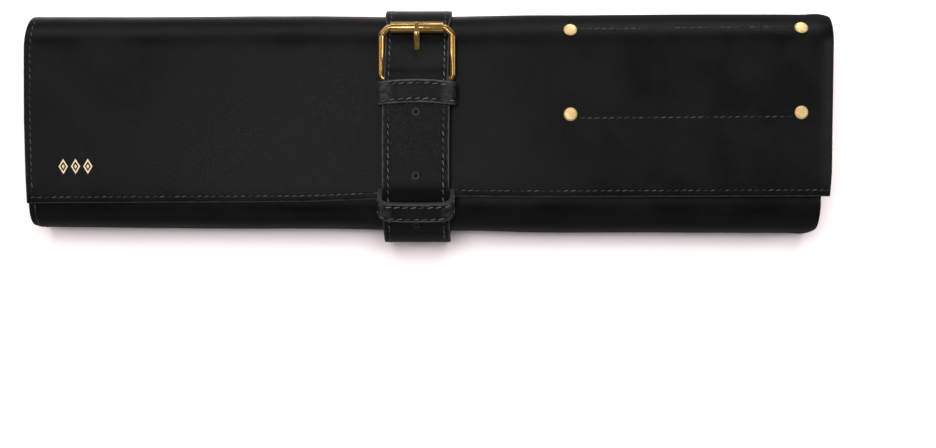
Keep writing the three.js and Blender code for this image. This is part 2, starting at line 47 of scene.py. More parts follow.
# The roll's section and its winding, with the same sizes as the frame's solids
roll = {
    "length": 480 * mm,
    "depth": 131.3 * mm,
    "height": 50 * mm,
    "backCorner": 21 * mm,
    "frontCorner": 19 * mm,
    "taper": 3.4 * mm,
    "thickness": 3 * mm,
    "layerGap": 1.6 * mm,
    "turns": 2.2,
    "flapEdge": 0.4 * mm,
    "flapSkew": 3.4 * mm,
    "rampStart": 0.78,
    "rampStartRight": 0.86,
    "rampChange": 80 * mm,
    "rampEnd": 0.985,
    "cinch": 0.6 * mm,
    "cinchHalfWidth": 24.3 * mm,
    "cinchBlend": 55 * mm,
    "endBlend": 60 * mm,
}
# How far each end lies out, as shares of the length, along the turns
endRows = [
    {"turn": 0, "left": -0.0033, "right": -0.0026},
    {"turn": 0.05, "left": -0.002, "right": -0.0002},
    {"turn": 0.14, "left": -0.0004, "right": 0.0006},
    {"turn": 0.28, "left": 0, "right": 0.0022},
    {"turn": 0.36, "left": -0.0022, "right": 0.0034},
    {"turn": 0.5, "left": -0.002, "right": 0.001},
    {"turn": 0.8, "left": 0.0005, "right": -0.009},
    {"turn": 0.95, "left": -0.0022, "right": -0.0118},
    {"turn": 1.2, "left": -0.0075, "right": -0.0125},
    {"turn": 2.2, "left": -0.012, "right": -0.016},
]
belt = {
    "width": 39.4 * mm,
    "pinch": 2 * mm,
    "pinchBlend": 8 * mm,
    "thickness": 3.1 * mm,
    "skived": 2 * mm,
    "centre": -6.5 * mm,
    "gap": 0.3 * mm,
    "returnLength": 33 * mm,
    "tipTurn": 135,
    "tipLength": 12 * mm,
    "tipShare": 0.45,
    "easing": 9 * mm,
    "easeReach": 2 * mm,
    "lineStep": 1 * mm,
    "step": 1.5 * mm,
    "across": 20,
    "bevel": 0.6 * mm,
    "seamInset": 3.5 * mm,
    "holeDiameter": 3.6 * mm,
    "holePitch": 37.5 * mm,
    "lastHolePitch": 30 * mm,
    "prongHalfWidth": 2 * mm,
    "prongHalfLength": 4.4 * mm,
}
buckle = {
    "heel": 24.85 * mm,
    "rollerTurn": 23,
    "bar": 2 * mm,
    "innerWidth": 38.2 * mm,
    "cut": 4.4 * mm,
    "cutRadius": 2.2 * mm,
    "cornerRadius": 2.4 * mm,
    "rollerRadius": 3.3 * mm,
    "rollerLength": 31.2 * mm,
    "rollerEdge": 0.45 * mm,
    "prongHole": 41.75 * mm,
    "prongLiftShare": 0.34,
    "prongWidth": 3.4 * mm,
    "prongTipWidth": 2.4 * mm,
    "prongThickness": 2.2 * mm,
    "eyeWall": 1.8 * mm,
    "eyeEdge": 0.4 * mm,
    "prongBend": 5.5 * mm,
    "overhang": 2.6 * mm,
}
keepers = {
    "wall": 2.6 * mm,
    "tuck": 1.6 * mm,
    "lowRadius": 1 * mm,
    "bevel": 0.7 * mm,
    "notchHalf": 3 * mm,
    "rows": 10,
    "cornerSteps": 8,
    "flatSteps": 16,
    "sideSteps": 4,
    "seamShare": 0.17,
    "stitchPitch": 4.9 * mm,
    "stitchLength": 4 * mm,
}
fixedLook = {
    "inner": 41 * mm,
    "width": 13.8 * mm,
    "radius": 1.6 * mm,
    "bow": 0.5 * mm,
    "sweep": 1.4 * mm,
    "shift": 0,
    "notch": 2.6 * mm,
}
looseLook = {
    "inner": 40 * mm,
    "width": 11.6 * mm,
    "radius": 4.6 * mm,
    "bow": 1 * mm,
    "sweep": 0,
    "shift": -0.6 * mm,
    "notch": 0,
    "place": 0.5 * mm,
    "lean": 8.4 * mm,
    "tilt": 30,
    "stand": 3.4 * mm,
}


def lerp(a, b, share):
    return a + (b - a) * share


def smooth(share):
    share = min(1, max(0, share))
    return share * share * (3 - 2 * share)


# A straight-line value between two rows of a table
def tableValue(rows, place, column, at):
    if at <= rows[0][place]:
        return rows[0][column]
    for low, high in zip(rows, rows[1:]):
        if at <= high[place]:
            return lerp(low[column], high[column], (at - low[place]) / (high[place] - low[place]))
    return rows[-1][column]


def sectionAt(x):
    pull = 1 - smooth((abs(x - belt["centre"]) - roll["cinchHalfWidth"]) / roll["cinchBlend"])
    return {
        "bottom": (belt["thickness"] + belt["gap"]) * pull,
        "top": roll["height"] - roll["cinch"] * pull,
        "half": roll["depth"] / 2 + roll["taper"] / 2 * x / roll["length"] - roll["cinch"] * pull,
    }


def sectionCorners(section):
    front, back = roll["frontCorner"], roll["backCorner"]
    return {
        "topFront": (-section["half"] + front, section["top"] - front, front),
        "topBack": (section["half"] - back, section["top"] - back, back),
        "lowBack": (section["half"] - back, section["bottom"] + back, back),
        "lowFront": (-section["half"] + front, section["bottom"] + front, front),
    }


# The loop of the section: straights and corner arcs from the flap back over the top
loopParts = [
    {"from": "topFront", "to": "topBack", "start": 90, "end": 90},
    {"from": "topBack", "to": "topBack", "start": 90, "end": 0},
    {"from": "topBack", "to": "lowBack", "start": 0, "end": 0},
    {"from": "lowBack", "to": "lowBack", "start": 0, "end": -90},
    {"from": "lowBack", "to": "lowFront", "start": -90, "end": -90},
    {"from": "lowFront", "to": "lowFront", "start": -90, "end": -180},
    {"from": "lowFront", "to": "topFront", "start": -180, "end": -180},
    {"from": "topFront", "to": "topFront", "start": -180, "end": -270},
]
plainCorners = sectionCorners({"bottom": 0, "top": roll["height"], "half": roll["depth"] / 2})
for part in loopParts:
    a, b = plainCorners[part["from"]], plainCorners[part["to"]]
    if part["start"] != part["end"]:
        part["length"] = a[2] * pi / 2
    else:
        part["length"] = abs(b[1] - a[1]) if part["start"] in (0, -180) else abs(b[0] - a[0])
loopLength = sum(part["length"] for part in loopParts)
flatStart = roll["depth"] / 2 - roll["frontCorner"]


def topAt(y):
    return y + flatStart


def partStart(index):
    return sum(part["length"] for part in loopParts[:index])


# A point of the section: its y and z, and the angle of its outward direction
def loopPoint(section, along, lift):
    rest = along % loopLength
    index = 0
    while index < len(loopParts) - 1 and rest > loopParts[index]["length"]:
        rest -= loopParts[index]["length"]
        index += 1
    part = loopParts[index]
    share = rest / part["length"]
    corners = sectionCorners(section)
    a, b = corners[part["from"]], corners[part["to"]]
    angle = radians(lerp(part["start"], part["end"], share))
    reach = lerp(a[2], b[2], share) + lift
    return lerp(a[0], b[0], share) + reach * cos(angle), lerp(a[1], b[1], share) + reach * sin(angle), angle


# The solids are centred on their box, so the section's middle lies a little off the origin
waist = sectionAt(belt["centre"])
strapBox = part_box("strap")
origin = Vector((
    (strapBox[0].x + strapBox[1].x) / 2 - belt["centre"],
    strapBox[1].y - waist["half"] - belt["gap"] - belt["thickness"],
    0,
))


def layerOffset(x, along):
    turn = along / loopLength
    whole = floor(turn)
    toRight = smooth((x - belt["centre"] + roll["rampChange"]) / roll["rampChange"])
    start = lerp(roll["rampStart"], roll["rampStartRight"], toRight)
    ramp = (turn - whole - start) / (roll["rampEnd"] - start)
    return (roll["thickness"] + roll["layerGap"]) * (whole + smooth(ramp))


def flapEdgeAt(x):
    return roll["flapEdge"] + roll["flapSkew"] * x / roll["length"]


# The flap's free edge isn't quite straight: it runs further forward on the left of the strap
rimRows = [
    {"x": -0.24, "shift": -1.8 * mm},
    {"x": -0.06, "shift": -1.4 * mm},
    {"x": 0.015, "shift": 0.9 * mm},
    {"x": 0.24, "shift": 0.8 * mm},
]


def flapRimAt(x):
    return flapEdgeAt(x) + tableValue(rimRows, "x", "shift", x)


def endShift(x, along):
    turn = along / loopLength
    leftFade = max(0, 1 - (x + roll["length"] / 2) / roll["endBlend"])
    rightFade = max(0, 1 - (roll["length"] / 2 - x) / roll["endBlend"])
    left = tableValue(endRows, "turn", "left", turn)
    right = tableValue(endRows, "turn", "right", turn)
    return roll["length"] * (right * rightFade - left * leftFade)


rivets = {
    "capRadius": 4 * mm,
    "capHeight": 1.5 * mm,
    "bevel": 0.85 * mm,
    "postRadius": 1.5 * mm,
    "backRadius": 3 * mm,
    "backHeight": 0.7 * mm,
    "backGap": 0.25 * mm,
    "sunk": 0.1 * mm,
    "row": 49.8 * mm,
    "rowPitch": 50.5 * mm,
    "column": 84.4 * mm,
    "columnPitch": 136.6 * mm,
    "dent": 0.3 * mm,
    "dentWidth": 7 * mm,
    "seamShift": (-2.3 * mm, 0.8 * mm),
}


def rivetPlaces():
    places = []
    for row in range(2):
        for column in range(2):
            x = rivets["column"] + column * rivets["columnPitch"]
            places.append((x, flapEdgeAt(x) + rivets["row"] + row * rivets["rowPitch"]))
    return places


def rivetSeamAt(x, row):
    return flapEdgeAt(x) + rivets["row"] + row * rivets["rowPitch"] + rivets["seamShift"][row]


# Soft waves, dents and turned edges of the leather, as a lift off the plain sheet. Inner turns wave less
relief = {
    "outerTurns": 0.9,
    "turnFade": 0.15,
    "waveLength": 85 * mm,
    "waveHeight": 0.55 * mm,
    "rippleLength": 24 * mm,
    "rippleHeight": 0.12 * mm,
    "seamWidth": 3.5 * mm,
    "seamDepth": 0.22 * mm,
    "droop": 0.9 * mm,
    "droopLength": 14 * mm,
    "foldDrop": 1.1 * mm,
    "foldLength": 7 * mm,
    "foldBead": 0.5 * mm,
    "beadPlace": 1.1,
    "beadWidth": 0.7,
    "pressed": 0.9,
    "pressWidth": 16 * mm,
    "innerWave": 0.2,
    "innerRipple": 0.3,
    "seamFade": 10 * mm,
}


def reliefAt(x, along):
    turn = along / loopLength
    outer = 1 - smooth((turn - relief["outerTurns"]) / relief["turnFade"])
    spot = Vector((x / relief["waveLength"], along / relief["waveLength"], 0.37))
    lift = relief["waveHeight"] * noise.noise(spot) * lerp(relief["innerWave"], 1, outer)
    fine = Vector((x / relief["rippleLength"], along / relief["rippleLength"], 3.1))
    lift += relief["rippleHeight"] * noise.noise(fine) * lerp(relief["innerRipple"], 1, outer)
    nearStrap = max(0, abs(x - belt["centre"]) - belt["width"] / 2)
    under = 1 - smooth(nearStrap / relief["pressWidth"])
    lift *= 1 - relief["pressed"] * under
    front = max(0, 1 - (along - flapRimAt(x)) / relief["droopLength"])
    lift -= relief["droop"] * front ** 2 * (1 - under)
    rightEnd = roll["length"] / 2 - x
    lift -= relief["foldDrop"] * max(0, 1 - rightEnd / relief["foldLength"]) ** 2 * outer
    bead = (rightEnd / relief["foldLength"] - relief["beadPlace"]) / relief["beadWidth"]
    lift += relief["foldBead"] * exp(-bead ** 2) * outer
    if turn > 0.5:
        return lift
    for rivetX, rivetAlong in rivetPlaces():
        far = hypot(x - rivetX, along - rivetAlong) / rivets["dentWidth"]
        lift -= rivets["dent"] * exp(-far * far)
    for row in range(2):
        middle = rivetSeamAt(x, row)
        inside = smooth((x - rivets["column"]) / relief["seamFade"])
        inside *= smooth((rivets["column"] + rivets["columnPitch"] - x) / relief["seamFade"])
        lift -= relief["seamDepth"] * inside * exp(-(((along - middle) / relief["seamWidth"]) ** 2))
    return lift


# A point of the sheet's outer face: x along the roll, and its place along the turns from the flap's edge
def sheetPoint(x, along):
    y, z, angle = loopPoint(sectionAt(x), along, reliefAt(x, along) - layerOffset(x, along))
    return origin + Vector((x + endShift(x, along), y, max(z, 0)))


# A place on the sheet: point, direction along the roll, direction along the turns, outward
def sheetFrame(x, along):
    step = 0.5 * mm
    point = sheetPoint(x, along)
    acrossDir = (sheetPoint(x + step, along) - sheetPoint(x - step, along)).normalized()
    alongDir = (sheetPoint(x, along + step) - sheetPoint(x, along - step)).normalized()
    return point, acrossDir, alongDir, acrossDir.cross(alongDir).normalized()


# Links a socket to an input, or sets the input's own value
def feed(tree, value, socket):
    if isinstance(value, bpy.types.NodeSocket):
        tree.links.new(value, socket)
    else:
        socket.default_value = value


def addNode(tree, kind, inputs=None, **settings):
    node = tree.nodes.new(kind)
    for key, value in settings.items():
        setattr(node, key, value)
    for key, value in (inputs or {}).items():
        feed(tree, value, node.inputs[key])
    return node


def doMath(tree, operation, first, second=0.0, third=0.0):
    inputs = {0: first, 1: second, 2: third}
    return addNode(tree, "ShaderNodeMath", inputs, operation=operation).outputs[0]


def doVector(tree, operation, inputs):
    return addNode(tree, "ShaderNodeVectorMath", inputs, operation=operation).outputs


def product(tree, first, second):
    return doMath(tree, "MULTIPLY", first, second)


# How far one value lies from another
def gapBetween(tree, value, other):
    return doMath(tree, "ABSOLUTE", doMath(tree, "SUBTRACT", value, other))


def mapRange(tree, value, low, high, toLow=0.0, toHigh=1.0):
    inputs = {"Value": value, "From Min": low, "From Max": high, "To Min": toLow, "To Max": toHigh}
    return addNode(tree, "ShaderNodeMapRange", inputs, interpolation_type="SMOOTHSTEP").outputs["Result"]


def mixColor(tree, share, first, second):
    return addNode(tree, "ShaderNodeMix", {0: share, 6: first, 7: second}, data_type="RGBA").outputs[2]


def noiseOn(tree, place, scale, detail, roughness=0.5):
    inputs = {"Vector": place, "Scale": scale, "Detail": detail, "Roughness": roughness}
    return addNode(tree, "ShaderNodeTexNoise", inputs).outputs


def split(tree, place):
    return addNode(tree, "ShaderNodeSeparateXYZ", {0: place}).outputs


def objectPlace(tree):
    return addNode(tree, "ShaderNodeTexCoord").outputs["Object"]


# How far a place lies to the side of the strap's middle
def besideStrap(tree, place):
    return gapBetween(tree, split(tree, place)[0], origin.x + belt["centre"])


def gray(value, warm=1.0):
    return (value * warm, value, value / warm, 1)


def newGroup(name, inputs, outputs):
    group = bpy.data.node_groups.new(name, "ShaderNodeTree")
    for label in inputs:
        kind = "NodeSocketVector" if label == "Vector" else "NodeSocketFloat"
        group.interface.new_socket(label, in_out="INPUT", socket_type=kind)
    for label in outputs:
        group.interface.new_socket(label, in_out="OUTPUT", socket_type="NodeSocketFloat")
    return group, group.nodes.new("NodeGroupInput").outputs, group.nodes.new("NodeGroupOutput").inputs


# Scales of the leather's textures, per metre, and how far the grain is bent, in metres
grainLook = {"bend": 420.0, "bent": 0.0012, "pores": 2600.0, "creases": 85.0, "patches": 34.0, "mottle": 22.0}


# Pebbled grain, soft mottling and fine creases of dressed leather
def grainGroup():
    inputs, outputs = ("Vector", "Cells", "Creases"), ("Height", "Mottle", "Crease")
    group, given, made = newGroup("leatherGrain", inputs, outputs)
    place = given["Vector"]
    push = doVector(group, "SUBTRACT", {0: noiseOn(group, place, grainLook["bend"], 2.0)["Color"],
                                        1: (0.5, 0.5, 0.5)})[0]
    push = doVector(group, "SCALE", {0: push, "Scale": grainLook["bent"]})[0]
    bent = doVector(group, "ADD", {0: place, 1: push})[0]

    def cellEdge(scale):
        inputs = {"Vector": bent, "Scale": scale}
        return addNode(group, "ShaderNodeTexVoronoi", inputs, feature="DISTANCE_TO_EDGE").outputs["Distance"]

    pebble = mapRange(group, cellEdge(given["Cells"]), 0.0, 0.3)
    pores = noiseOn(group, place, grainLook["pores"], 3.0)["Fac"]
    height = doMath(group, "MULTIPLY_ADD", pebble, 0.6, product(group, pores, 0.5))
    patch = noiseOn(group, place, grainLook["patches"], 3.0)["Fac"]
    crease = mapRange(group, cellEdge(grainLook["creases"]), 0.0, 0.05, 1.0, 0.0)
    crease = product(group, crease, mapRange(group, patch, 0.45, 0.62))
    crease = product(group, crease, given["Creases"])
    mottle = noiseOn(group, place, grainLook["mottle"], 6.0, 0.62)["Fac"]
    feed(group, doMath(group, "SUBTRACT", height, crease), made["Height"])
    feed(group, mapRange(group, mottle, 0.32, 0.68), made["Mottle"])
    feed(group, crease, made["Crease"])
    return group


edgeLabels = ("Left", "Right", "Start", "End")


# How near a point of the UV map, which is in metres, lies to the sheet's four cut edges
def edgeGroup():
    group, given, made = newGroup("edgeWear", ("Vector", *edgeLabels, "Width"), ("Mask",))
    place = split(group, given["Vector"])
    near = doMath(group, "SUBTRACT", place[0], given["Left"])
    for first, second in ((given["Right"], place[0]), (place[1], given["Start"]), (given["End"], place[1])):
        near = doMath(group, "MINIMUM", near, doMath(group, "SUBTRACT", first, second))
    rough = noiseOn(group, given["Vector"], 260.0, 4.0)["Fac"]
    width = product(group, given["Width"], mapRange(group, rough, 0.3, 0.7, 0.55, 1.25))
    share = doMath(group, "DIVIDE", near, width)
    feed(group, mapRange(group, share, 0.25, 1.0, 1.0, 0.0), made["Mask"])
    return group


# A shallow groove along one line of the UV map
def grooveGroup():
    group, given, made = newGroup("seamGroove", ("Across", "Place", "Width"), ("Depth",))
    share = doMath(group, "DIVIDE", gapBetween(group, given["Across"], given["Place"]), given["Width"])
    feed(group, mapRange(group, share, 0.0, 1.0, 1.0, 0.0), made["Depth"])
    return group


grain = grainGroup()
edgeWear = edgeGroup()
seamGroove = grooveGroup()

# Edges are left, right, start and end on the UV map. A groove is its axis there, its place and its width
leathers = {
    "panel": {
        "color": 0.0009, "light": 0.0032, "roughness": 0.42, "bump": 0.28, "cells": 900.0, "creases": 0.1,
        "edges": (-0.24, 0.24, 0.0, 0.72), "edgeWidth": 0.0011, "edgeColor": (0.024, 0.023, 0.022, 1),
        "grooves": ((1, 0.0038, 0.0009), (0, -0.2362, 0.0009)),
    },
    "strap": {
        "color": 0.0012, "light": 0.004, "roughness": 0.4, "bump": 0.5, "cells": 950.0, "creases": 0.5,
        "edges": (-0.0197, 0.0197, 0.0, 0.6), "edgeWidth": 0.0013, "edgeColor": (0.034, 0.032, 0.031, 1),
        "grooves": ((0, -0.0162, 0.0009), (0, 0.0162, 0.0009)),
    },
    "keeper": {
        "color": 0.0024, "light": 0.0055, "roughness": 0.41, "bump": 0.55, "cells": 950.0, "creases": 1.1,
        "edges": (-1.0, 1.0, 0.0, 0.0138), "edgeWidth": 0.0016, "edgeColor": (0.05, 0.048, 0.047, 1),
        "grooves": ((1, 0.00235, 0.0011), (1, 0.01145, 0.0011)),
    },
}


def newMaterial(name):
    material = bpy.data.materials.new(name)
    material.use_nodes = True
    return material, material.node_tree, material.node_tree.nodes["Principled BSDF"]


# Gives a shader its inputs, and a bump from a height
def dress(tree, shader, inputs, height, strength, distance):
    bump = addNode(tree, "ShaderNodeBump", {"Height": height, "Strength": strength, "Distance": distance})
    for label, value in inputs.items():
        feed(tree, value, shader.inputs[label])
    feed(tree, bump.outputs[0], shader.inputs["Normal"])


# The leather of one piece. addDetail changes its colour and roughness, and says how metallic it is
def leatherMaterial(name, look, addDetail):
    material, tree, shader = newMaterial(name)
    place = addNode(tree, "ShaderNodeUVMap", uv_map="UVMap").outputs[0]
    inputs = {"Vector": place, "Cells": look["cells"], "Creases": look["creases"]}
    skin = addNode(tree, "ShaderNodeGroup", inputs, node_tree=grain).outputs
    inputs = {"Vector": place, "Width": look["edgeWidth"], **dict(zip(edgeLabels, look["edges"]))}
    wear = addNode(tree, "ShaderNodeGroup", inputs, node_tree=edgeWear).outputs["Mask"]
    color = mixColor(tree, skin["Mottle"], gray(look["color"]), gray(look["light"], 1.03))
    color = mixColor(tree, product(tree, skin["Crease"], 0.5), color, gray(look["light"] * 2))
    color = mixColor(tree, wear, color, look["edgeColor"])
    height = skin["Height"]
    parts = split(tree, place)
    for axis, at, width in look["grooves"]:
        inputs = {"Across": parts[axis], "Place": at, "Width": width}
        depth = addNode(tree, "ShaderNodeGroup", inputs, node_tree=seamGroove).outputs["Depth"]
        height = doMath(tree, "MULTIPLY_ADD", depth, -1.4, height)
        # Painted shade along the seam groove
        color = mixColor(tree, product(tree, depth, 0.8), color, gray(0.0005))
    smoothest, roughest = look["roughness"] - 0.03, look["roughness"] + 0.05
    rough = mapRange(tree, skin["Mottle"], 0.0, 1.0, smoothest, roughest)
    color, rough, metal = addDetail(tree, place, color, rough)
    inputs = {"Base Color": color, "Roughness": rough, "Metallic": metal, "Specular IOR Level": 0.25}
    dress(tree, shader, inputs, height, look["bump"], 0.00022)
    return material


# A row of small gold lozenges near the flap's left corner
foilRow = {
    "u": -0.2095, "v": 0.0222, "pitch": 0.0074, "count": 3, "width": 0.0058, "height": 0.0094,
    "ring": 0.8, "ringHalf": 0.17, "dot": 0.3, "color": (0.8, 0.64, 0.42, 1), "metallic": 0.45,
}


def addFoil(tree, place, color, rough):
    parts = split(tree, place)
    across = doMath(tree, "DIVIDE", doMath(tree, "SUBTRACT", parts[0], foilRow["u"]), foilRow["pitch"])
    cell = gapBetween(tree, across, doMath(tree, "ROUND", across))
    cell = product(tree, cell, 2 * foilRow["pitch"] / foilRow["width"])
    up = product(tree, gapBetween(tree, parts[1], foilRow["v"]), 2 / foilRow["height"])
    shape = doMath(tree, "ADD", cell, up)
    ring = doMath(tree, "LESS_THAN", gapBetween(tree, shape, foilRow["ring"]), foilRow["ringHalf"])
    inside = doMath(tree, "MAXIMUM", ring, doMath(tree, "LESS_THAN", shape, foilRow["dot"]))
    row = doMath(tree, "LESS_THAN", doMath(tree, "ABSOLUTE", across), foilRow["count"] / 2)
    worn = mapRange(tree, noiseOn(tree, place, 1500.0, 3.0)["Fac"], 0.3, 0.42)
    mask = product(tree, product(tree, inside, row), worn)
    rough = doMath(tree, "MULTIPLY_ADD", mask, -0.12, rough)
    return mixColor(tree, mask, color, foilRow["color"]), rough, product(tree, mask, foilRow["metallic"])


# Lighter leather where a keeper bends over the strap's edges: partly wear, partly a painted highlight where
# the lamps glint on the shoulders
worn = {"from": 13.5 * mm, "to": 17.5 * mm, "color": (0.026, 0.025, 0.024, 1)}


def addShoulderWearAndHighlight(tree, place, color, rough):
    place = objectPlace(tree)
    patchy = mapRange(tree, noiseOn(tree, place, 420.0, 5.0)["Fac"], 0.3, 0.62)
    mask = product(tree, mapRange(tree, besideStrap(tree, place), worn["from"], worn["to"]), patchy)
    return mixColor(tree, product(tree, mask, 0.8), color, worn["color"]), rough, 0.0


def fleshMaterial(name, value, scale):
    material, tree, shader = newMaterial(name)
    place = objectPlace(tree)
    nap = noiseOn(tree, place, scale, 5.0)["Fac"]
    cloud = noiseOn(tree, place, 45.0, 3.0)["Fac"]
    color = mixColor(tree, cloud, gray(value * 0.7, 1.03), gray(value * 1.4, 1.05))
    rough = mapRange(tree, nap, 0.3, 0.7, 0.72, 0.92)
    dress(tree, shader, {"Base Color": color, "Roughness": rough}, nap, 0.5, 0.0003)
    return material


def brassMaterial(name, look):
    material, tree, shader = newMaterial(name)
    place = objectPlace(tree)
    cloud = noiseOn(tree, place, 190.0, 5.0)["Fac"]
    fine = noiseOn(tree, place, 1900.0, 4.0)["Fac"]
    tarnishAndShade = product(tree, mapRange(tree, cloud, 0.42, 0.68), look["tarnishAndShade"])
    # Painted shade: the bars darken on their outer halves. It is merged into the tarnish mask
    if look["shadedOuterHalf"]:
        low, high = look["shadedOuterHalf"]
        outer = mapRange(tree, besideStrap(tree, place), low, high, 0.0, 0.85)
        tarnishAndShade = doMath(tree, "MAXIMUM", tarnishAndShade, outer)
    color = mixColor(tree, tarnishAndShade, look["color"], look["dark"])
    rough = mapRange(tree, cloud, 0.3, 0.7, look["roughness"] - 0.05, look["roughness"] + 0.09)
    inputs = {"Base Color": color, "Roughness": rough, "Metallic": look["metallic"]}
    dress(tree, shader, inputs, fine, 0.15, 0.0001)
    return material


def threadMaterial(name, value):
    material, tree, shader = newMaterial(name)
    place = objectPlace(tree)
    strand = noiseOn(tree, place, 3200.0, 2.0)["Fac"]
    shade = mapRange(tree, noiseOn(tree, place, 160.0, 2.0)["Fac"], 0.36, 0.64)
    color = mixColor(tree, shade, gray(value * 0.35), gray(value * 1.6))
    rough = mapRange(tree, strand, 0.3, 0.7, 0.55, 0.8)
    dress(tree, shader, {"Base Color": color, "Roughness": rough}, strand, 0.6, 0.0002)
    return material


# Brass: shadedOuterHalf is where painted shade darkens the frame's bars towards their outer side, from the
# strap's middle
antique = {
    "color": (0.8, 0.5, 0.17, 1), "dark": (0.17, 0.075, 0.02, 1), "roughness": 0.17, "tarnishAndShade": 0.4,
    "metallic": 0.92, "shadedOuterHalf": (20.7 * mm, 21.7 * mm),
}
polished = {
    "color": (0.8, 0.56, 0.26, 1), "dark": (0.45, 0.28, 0.1, 1), "roughness": 0.3, "tarnishAndShade": 0.35,
    "metallic": 0.5, "shadedOuterHalf": None,
}
panelLeather = leatherMaterial("panelLeather", leathers["panel"], addFoil)
keeperLeather = leatherMaterial("keeperLeather", leathers["keeper"], addShoulderWearAndHighlight)
fleshSide = fleshMaterial("fleshSide", 0.012, 1400.0)
cutEdge = fleshMaterial("cutEdge", 0.02, 2200.0)
buckleBrass = brassMaterial("buckleBrass", antique)
rivetBrass = brassMaterial("rivetBrass", polished)
panelThread = threadMaterial("panelThread", 0.038)
sewingThread = threadMaterial("sewingThread", 0.07)
print("materials made")


def finishPiece(name, bm, materials, replaced=()):
    mesh = bpy.data.meshes.new(name)
    bm.to_mesh(mesh)
    bm.free()
    mesh.polygons.foreach_set("use_smooth", [True] * len(mesh.polygons))
    for material in materials:
        mesh.materials.append(material)
    piece = bpy.data.objects.new(name, mesh)
    bpy.context.scene.collection.objects.link(piece)
    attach(piece, "root")
    if replaced:
        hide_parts(*replaced)
    return piece


# Gives a laid-out sheet its thickness and rounds its cut edges
def thicken(piece, thickness, offset, bevelWidth, weights=None):
    wall = piece.modifiers.new("Wall", "SOLIDIFY")
    wall.thickness = thickness
    wall.offset = offset
    wall.use_even_offset = True
    wall.material_offset = 1
    wall.material_offset_rim = 2
    if weights:
        group = piece.vertex_groups.new(name="thickness")
        for index, weight in weights.items():
            group.add([index], weight, "REPLACE")
        wall.vertex_group = group.name
        wall.thickness_vertex_group = 0
    rim = piece.modifiers.new("Rim", "BEVEL")
    rim.limit_method = "ANGLE"
    rim.angle_limit = radians(50)
    rim.width = bevelWidth
    rim.segments = 3


# Moves a flat grid's vertices to place(x, y), and gives it a UV map in metres from flat(x, y)
def laySheet(bm, place, flat):
    uvLayer = bm.loops.layers.uv.new("UVMap")
    for face in bm.faces:
        for loop in face.loops:
            loop[uvLayer].uv = flat(loop.vert.co.x, loop.vert.co.y)
    for vert in bm.verts:
        vert.co = place(vert.co.x, vert.co.y)


stitches = {
    "pitch": 4.35 * mm, "length": 3.5 * mm, "width": 0.65 * mm, "height": 0.55 * mm, "slant": 11,
    "fromTip": 5 * mm,
}


# One stitch: a slim rounded grain of thread, half sunk in the leather
def addStitch(bm, point, alongDir, outDir, length=stitches["length"]):
    if point.z < stitches["height"]:
        return
    alongDir = Matrix.Rotation(radians(stitches["slant"]), 3, outDir) @ alongDir
    side = outDir.cross(alongDir)
    axes = (side * stitches["width"], outDir * stitches["height"], alongDir * length)
    matrix = Matrix.Translation(point) @ Matrix(axes).transposed().to_4x4()
    bmesh.ops.create_uvsphere(bm, u_segments=6, v_segments=4, radius=0.5, matrix=matrix)


# The panel: its grid, its cut edges and its seams
panelGrid = {
    "columns": 150, "rows": 210, "bevel": 0.45 * mm,
    "seamIn": 3.8 * mm, "seamEnd": 1.5 * mm, "rivetGap": 3 * mm,
}
sheetEnd = roll["turns"] * loopLength


def makePanel():
    bm = bmesh.new()
    bmesh.ops.create_grid(bm, x_segments=panelGrid["columns"], y_segments=panelGrid["rows"], size=0.5)

    def place(u, v):
        x = u * roll["length"]
        return sheetPoint(x, lerp(flapRimAt(x), sheetEnd, v + 0.5))

    def flat(u, v):
        return u * roll["length"], (v + 0.5) * sheetEnd

    laySheet(bm, place, flat)
    panel = finishPiece("rollPanel", bm, [panelLeather, fleshSide, cutEdge], ["roll_panel"])
    thicken(panel, roll["thickness"], -1, panelGrid["bevel"])
    return panel


def stitchOnSheet(bm, x, along, goesAlong):
    point, acrossDir, alongDir, out = sheetFrame(x, along)
    addStitch(bm, point, alongDir if goesAlong else acrossDir, out)


def stepsOf(start, end, pitch):
    count = max(1, round((end - start) / pitch))
    return [lerp(start, end, i / count) for i in range(count + 1)]


def makePanelStitches():
    bm = bmesh.new()
    inset = panelGrid["seamIn"]
    left, right = -roll["length"] / 2 + inset, roll["length"] / 2 - panelGrid["seamEnd"]
    for x in stepsOf(left, right, stitches["pitch"]):
        stitchOnSheet(bm, x, flapRimAt(x) + inset, False)
    for along in stepsOf(inset + stitches["pitch"], sheetEnd - inset, stitches["pitch"]):
        stitchOnSheet(bm, left, along, True)
    clear = rivets["capRadius"] + panelGrid["rivetGap"]
    start, end = rivets["column"] + clear, rivets["column"] + rivets["columnPitch"] - clear
    for row in range(2):
        for x in stepsOf(start, end, stitches["pitch"]):
            stitchOnSheet(bm, x, rivetSeamAt(x, row), False)
    return finishPiece("panelStitches", bm, [panelThread])


panel = makePanel()
panelStitches = makePanelStitches()
print("panel made")


# The length of one degree of a corner
def perDegree(corner):
    return corner * pi / 2 / 90


# Where the strap and its fittings lie along the section's loop, and how high they stand off the roll
rollerAlong = partStart(1) + buckle["rollerTurn"] * perDegree(roll["backCorner"])
heelAlong = topAt(buckle["heel"])
gap = belt["gap"]
fixedPlace = buckle["heel"] - buckle["bar"] - gap - fixedLook["width"] / 2
fixedFront = topAt(fixedPlace - fixedLook["width"] / 2)
fixedBack = topAt(fixedPlace + fixedLook["width"] / 2)
looseFront = looseLook["place"] - looseLook["width"] / 2
looseBack = looseLook["place"] + looseLook["width"] / 2
returnTop = gap + belt["skived"]
fixedTuckTop = returnTop + gap + keepers["tuck"]
looseTuckTop = gap + keepers["tuck"]
barLift = returnTop + gap + buckle["bar"]
eyeRadius = buckle["bar"] + gap
firstOverBar = barLift + buckle["bar"] + gap
freeOverBar = firstOverBar + belt["skived"] + gap
firstOnFixed = fixedTuckTop + gap
firstOnLoose = looseTuckTop + gap
freeStep = belt["thickness"] + gap
prongAlong = topAt(buckle["prongHole"])
reach = belt["easeReach"]
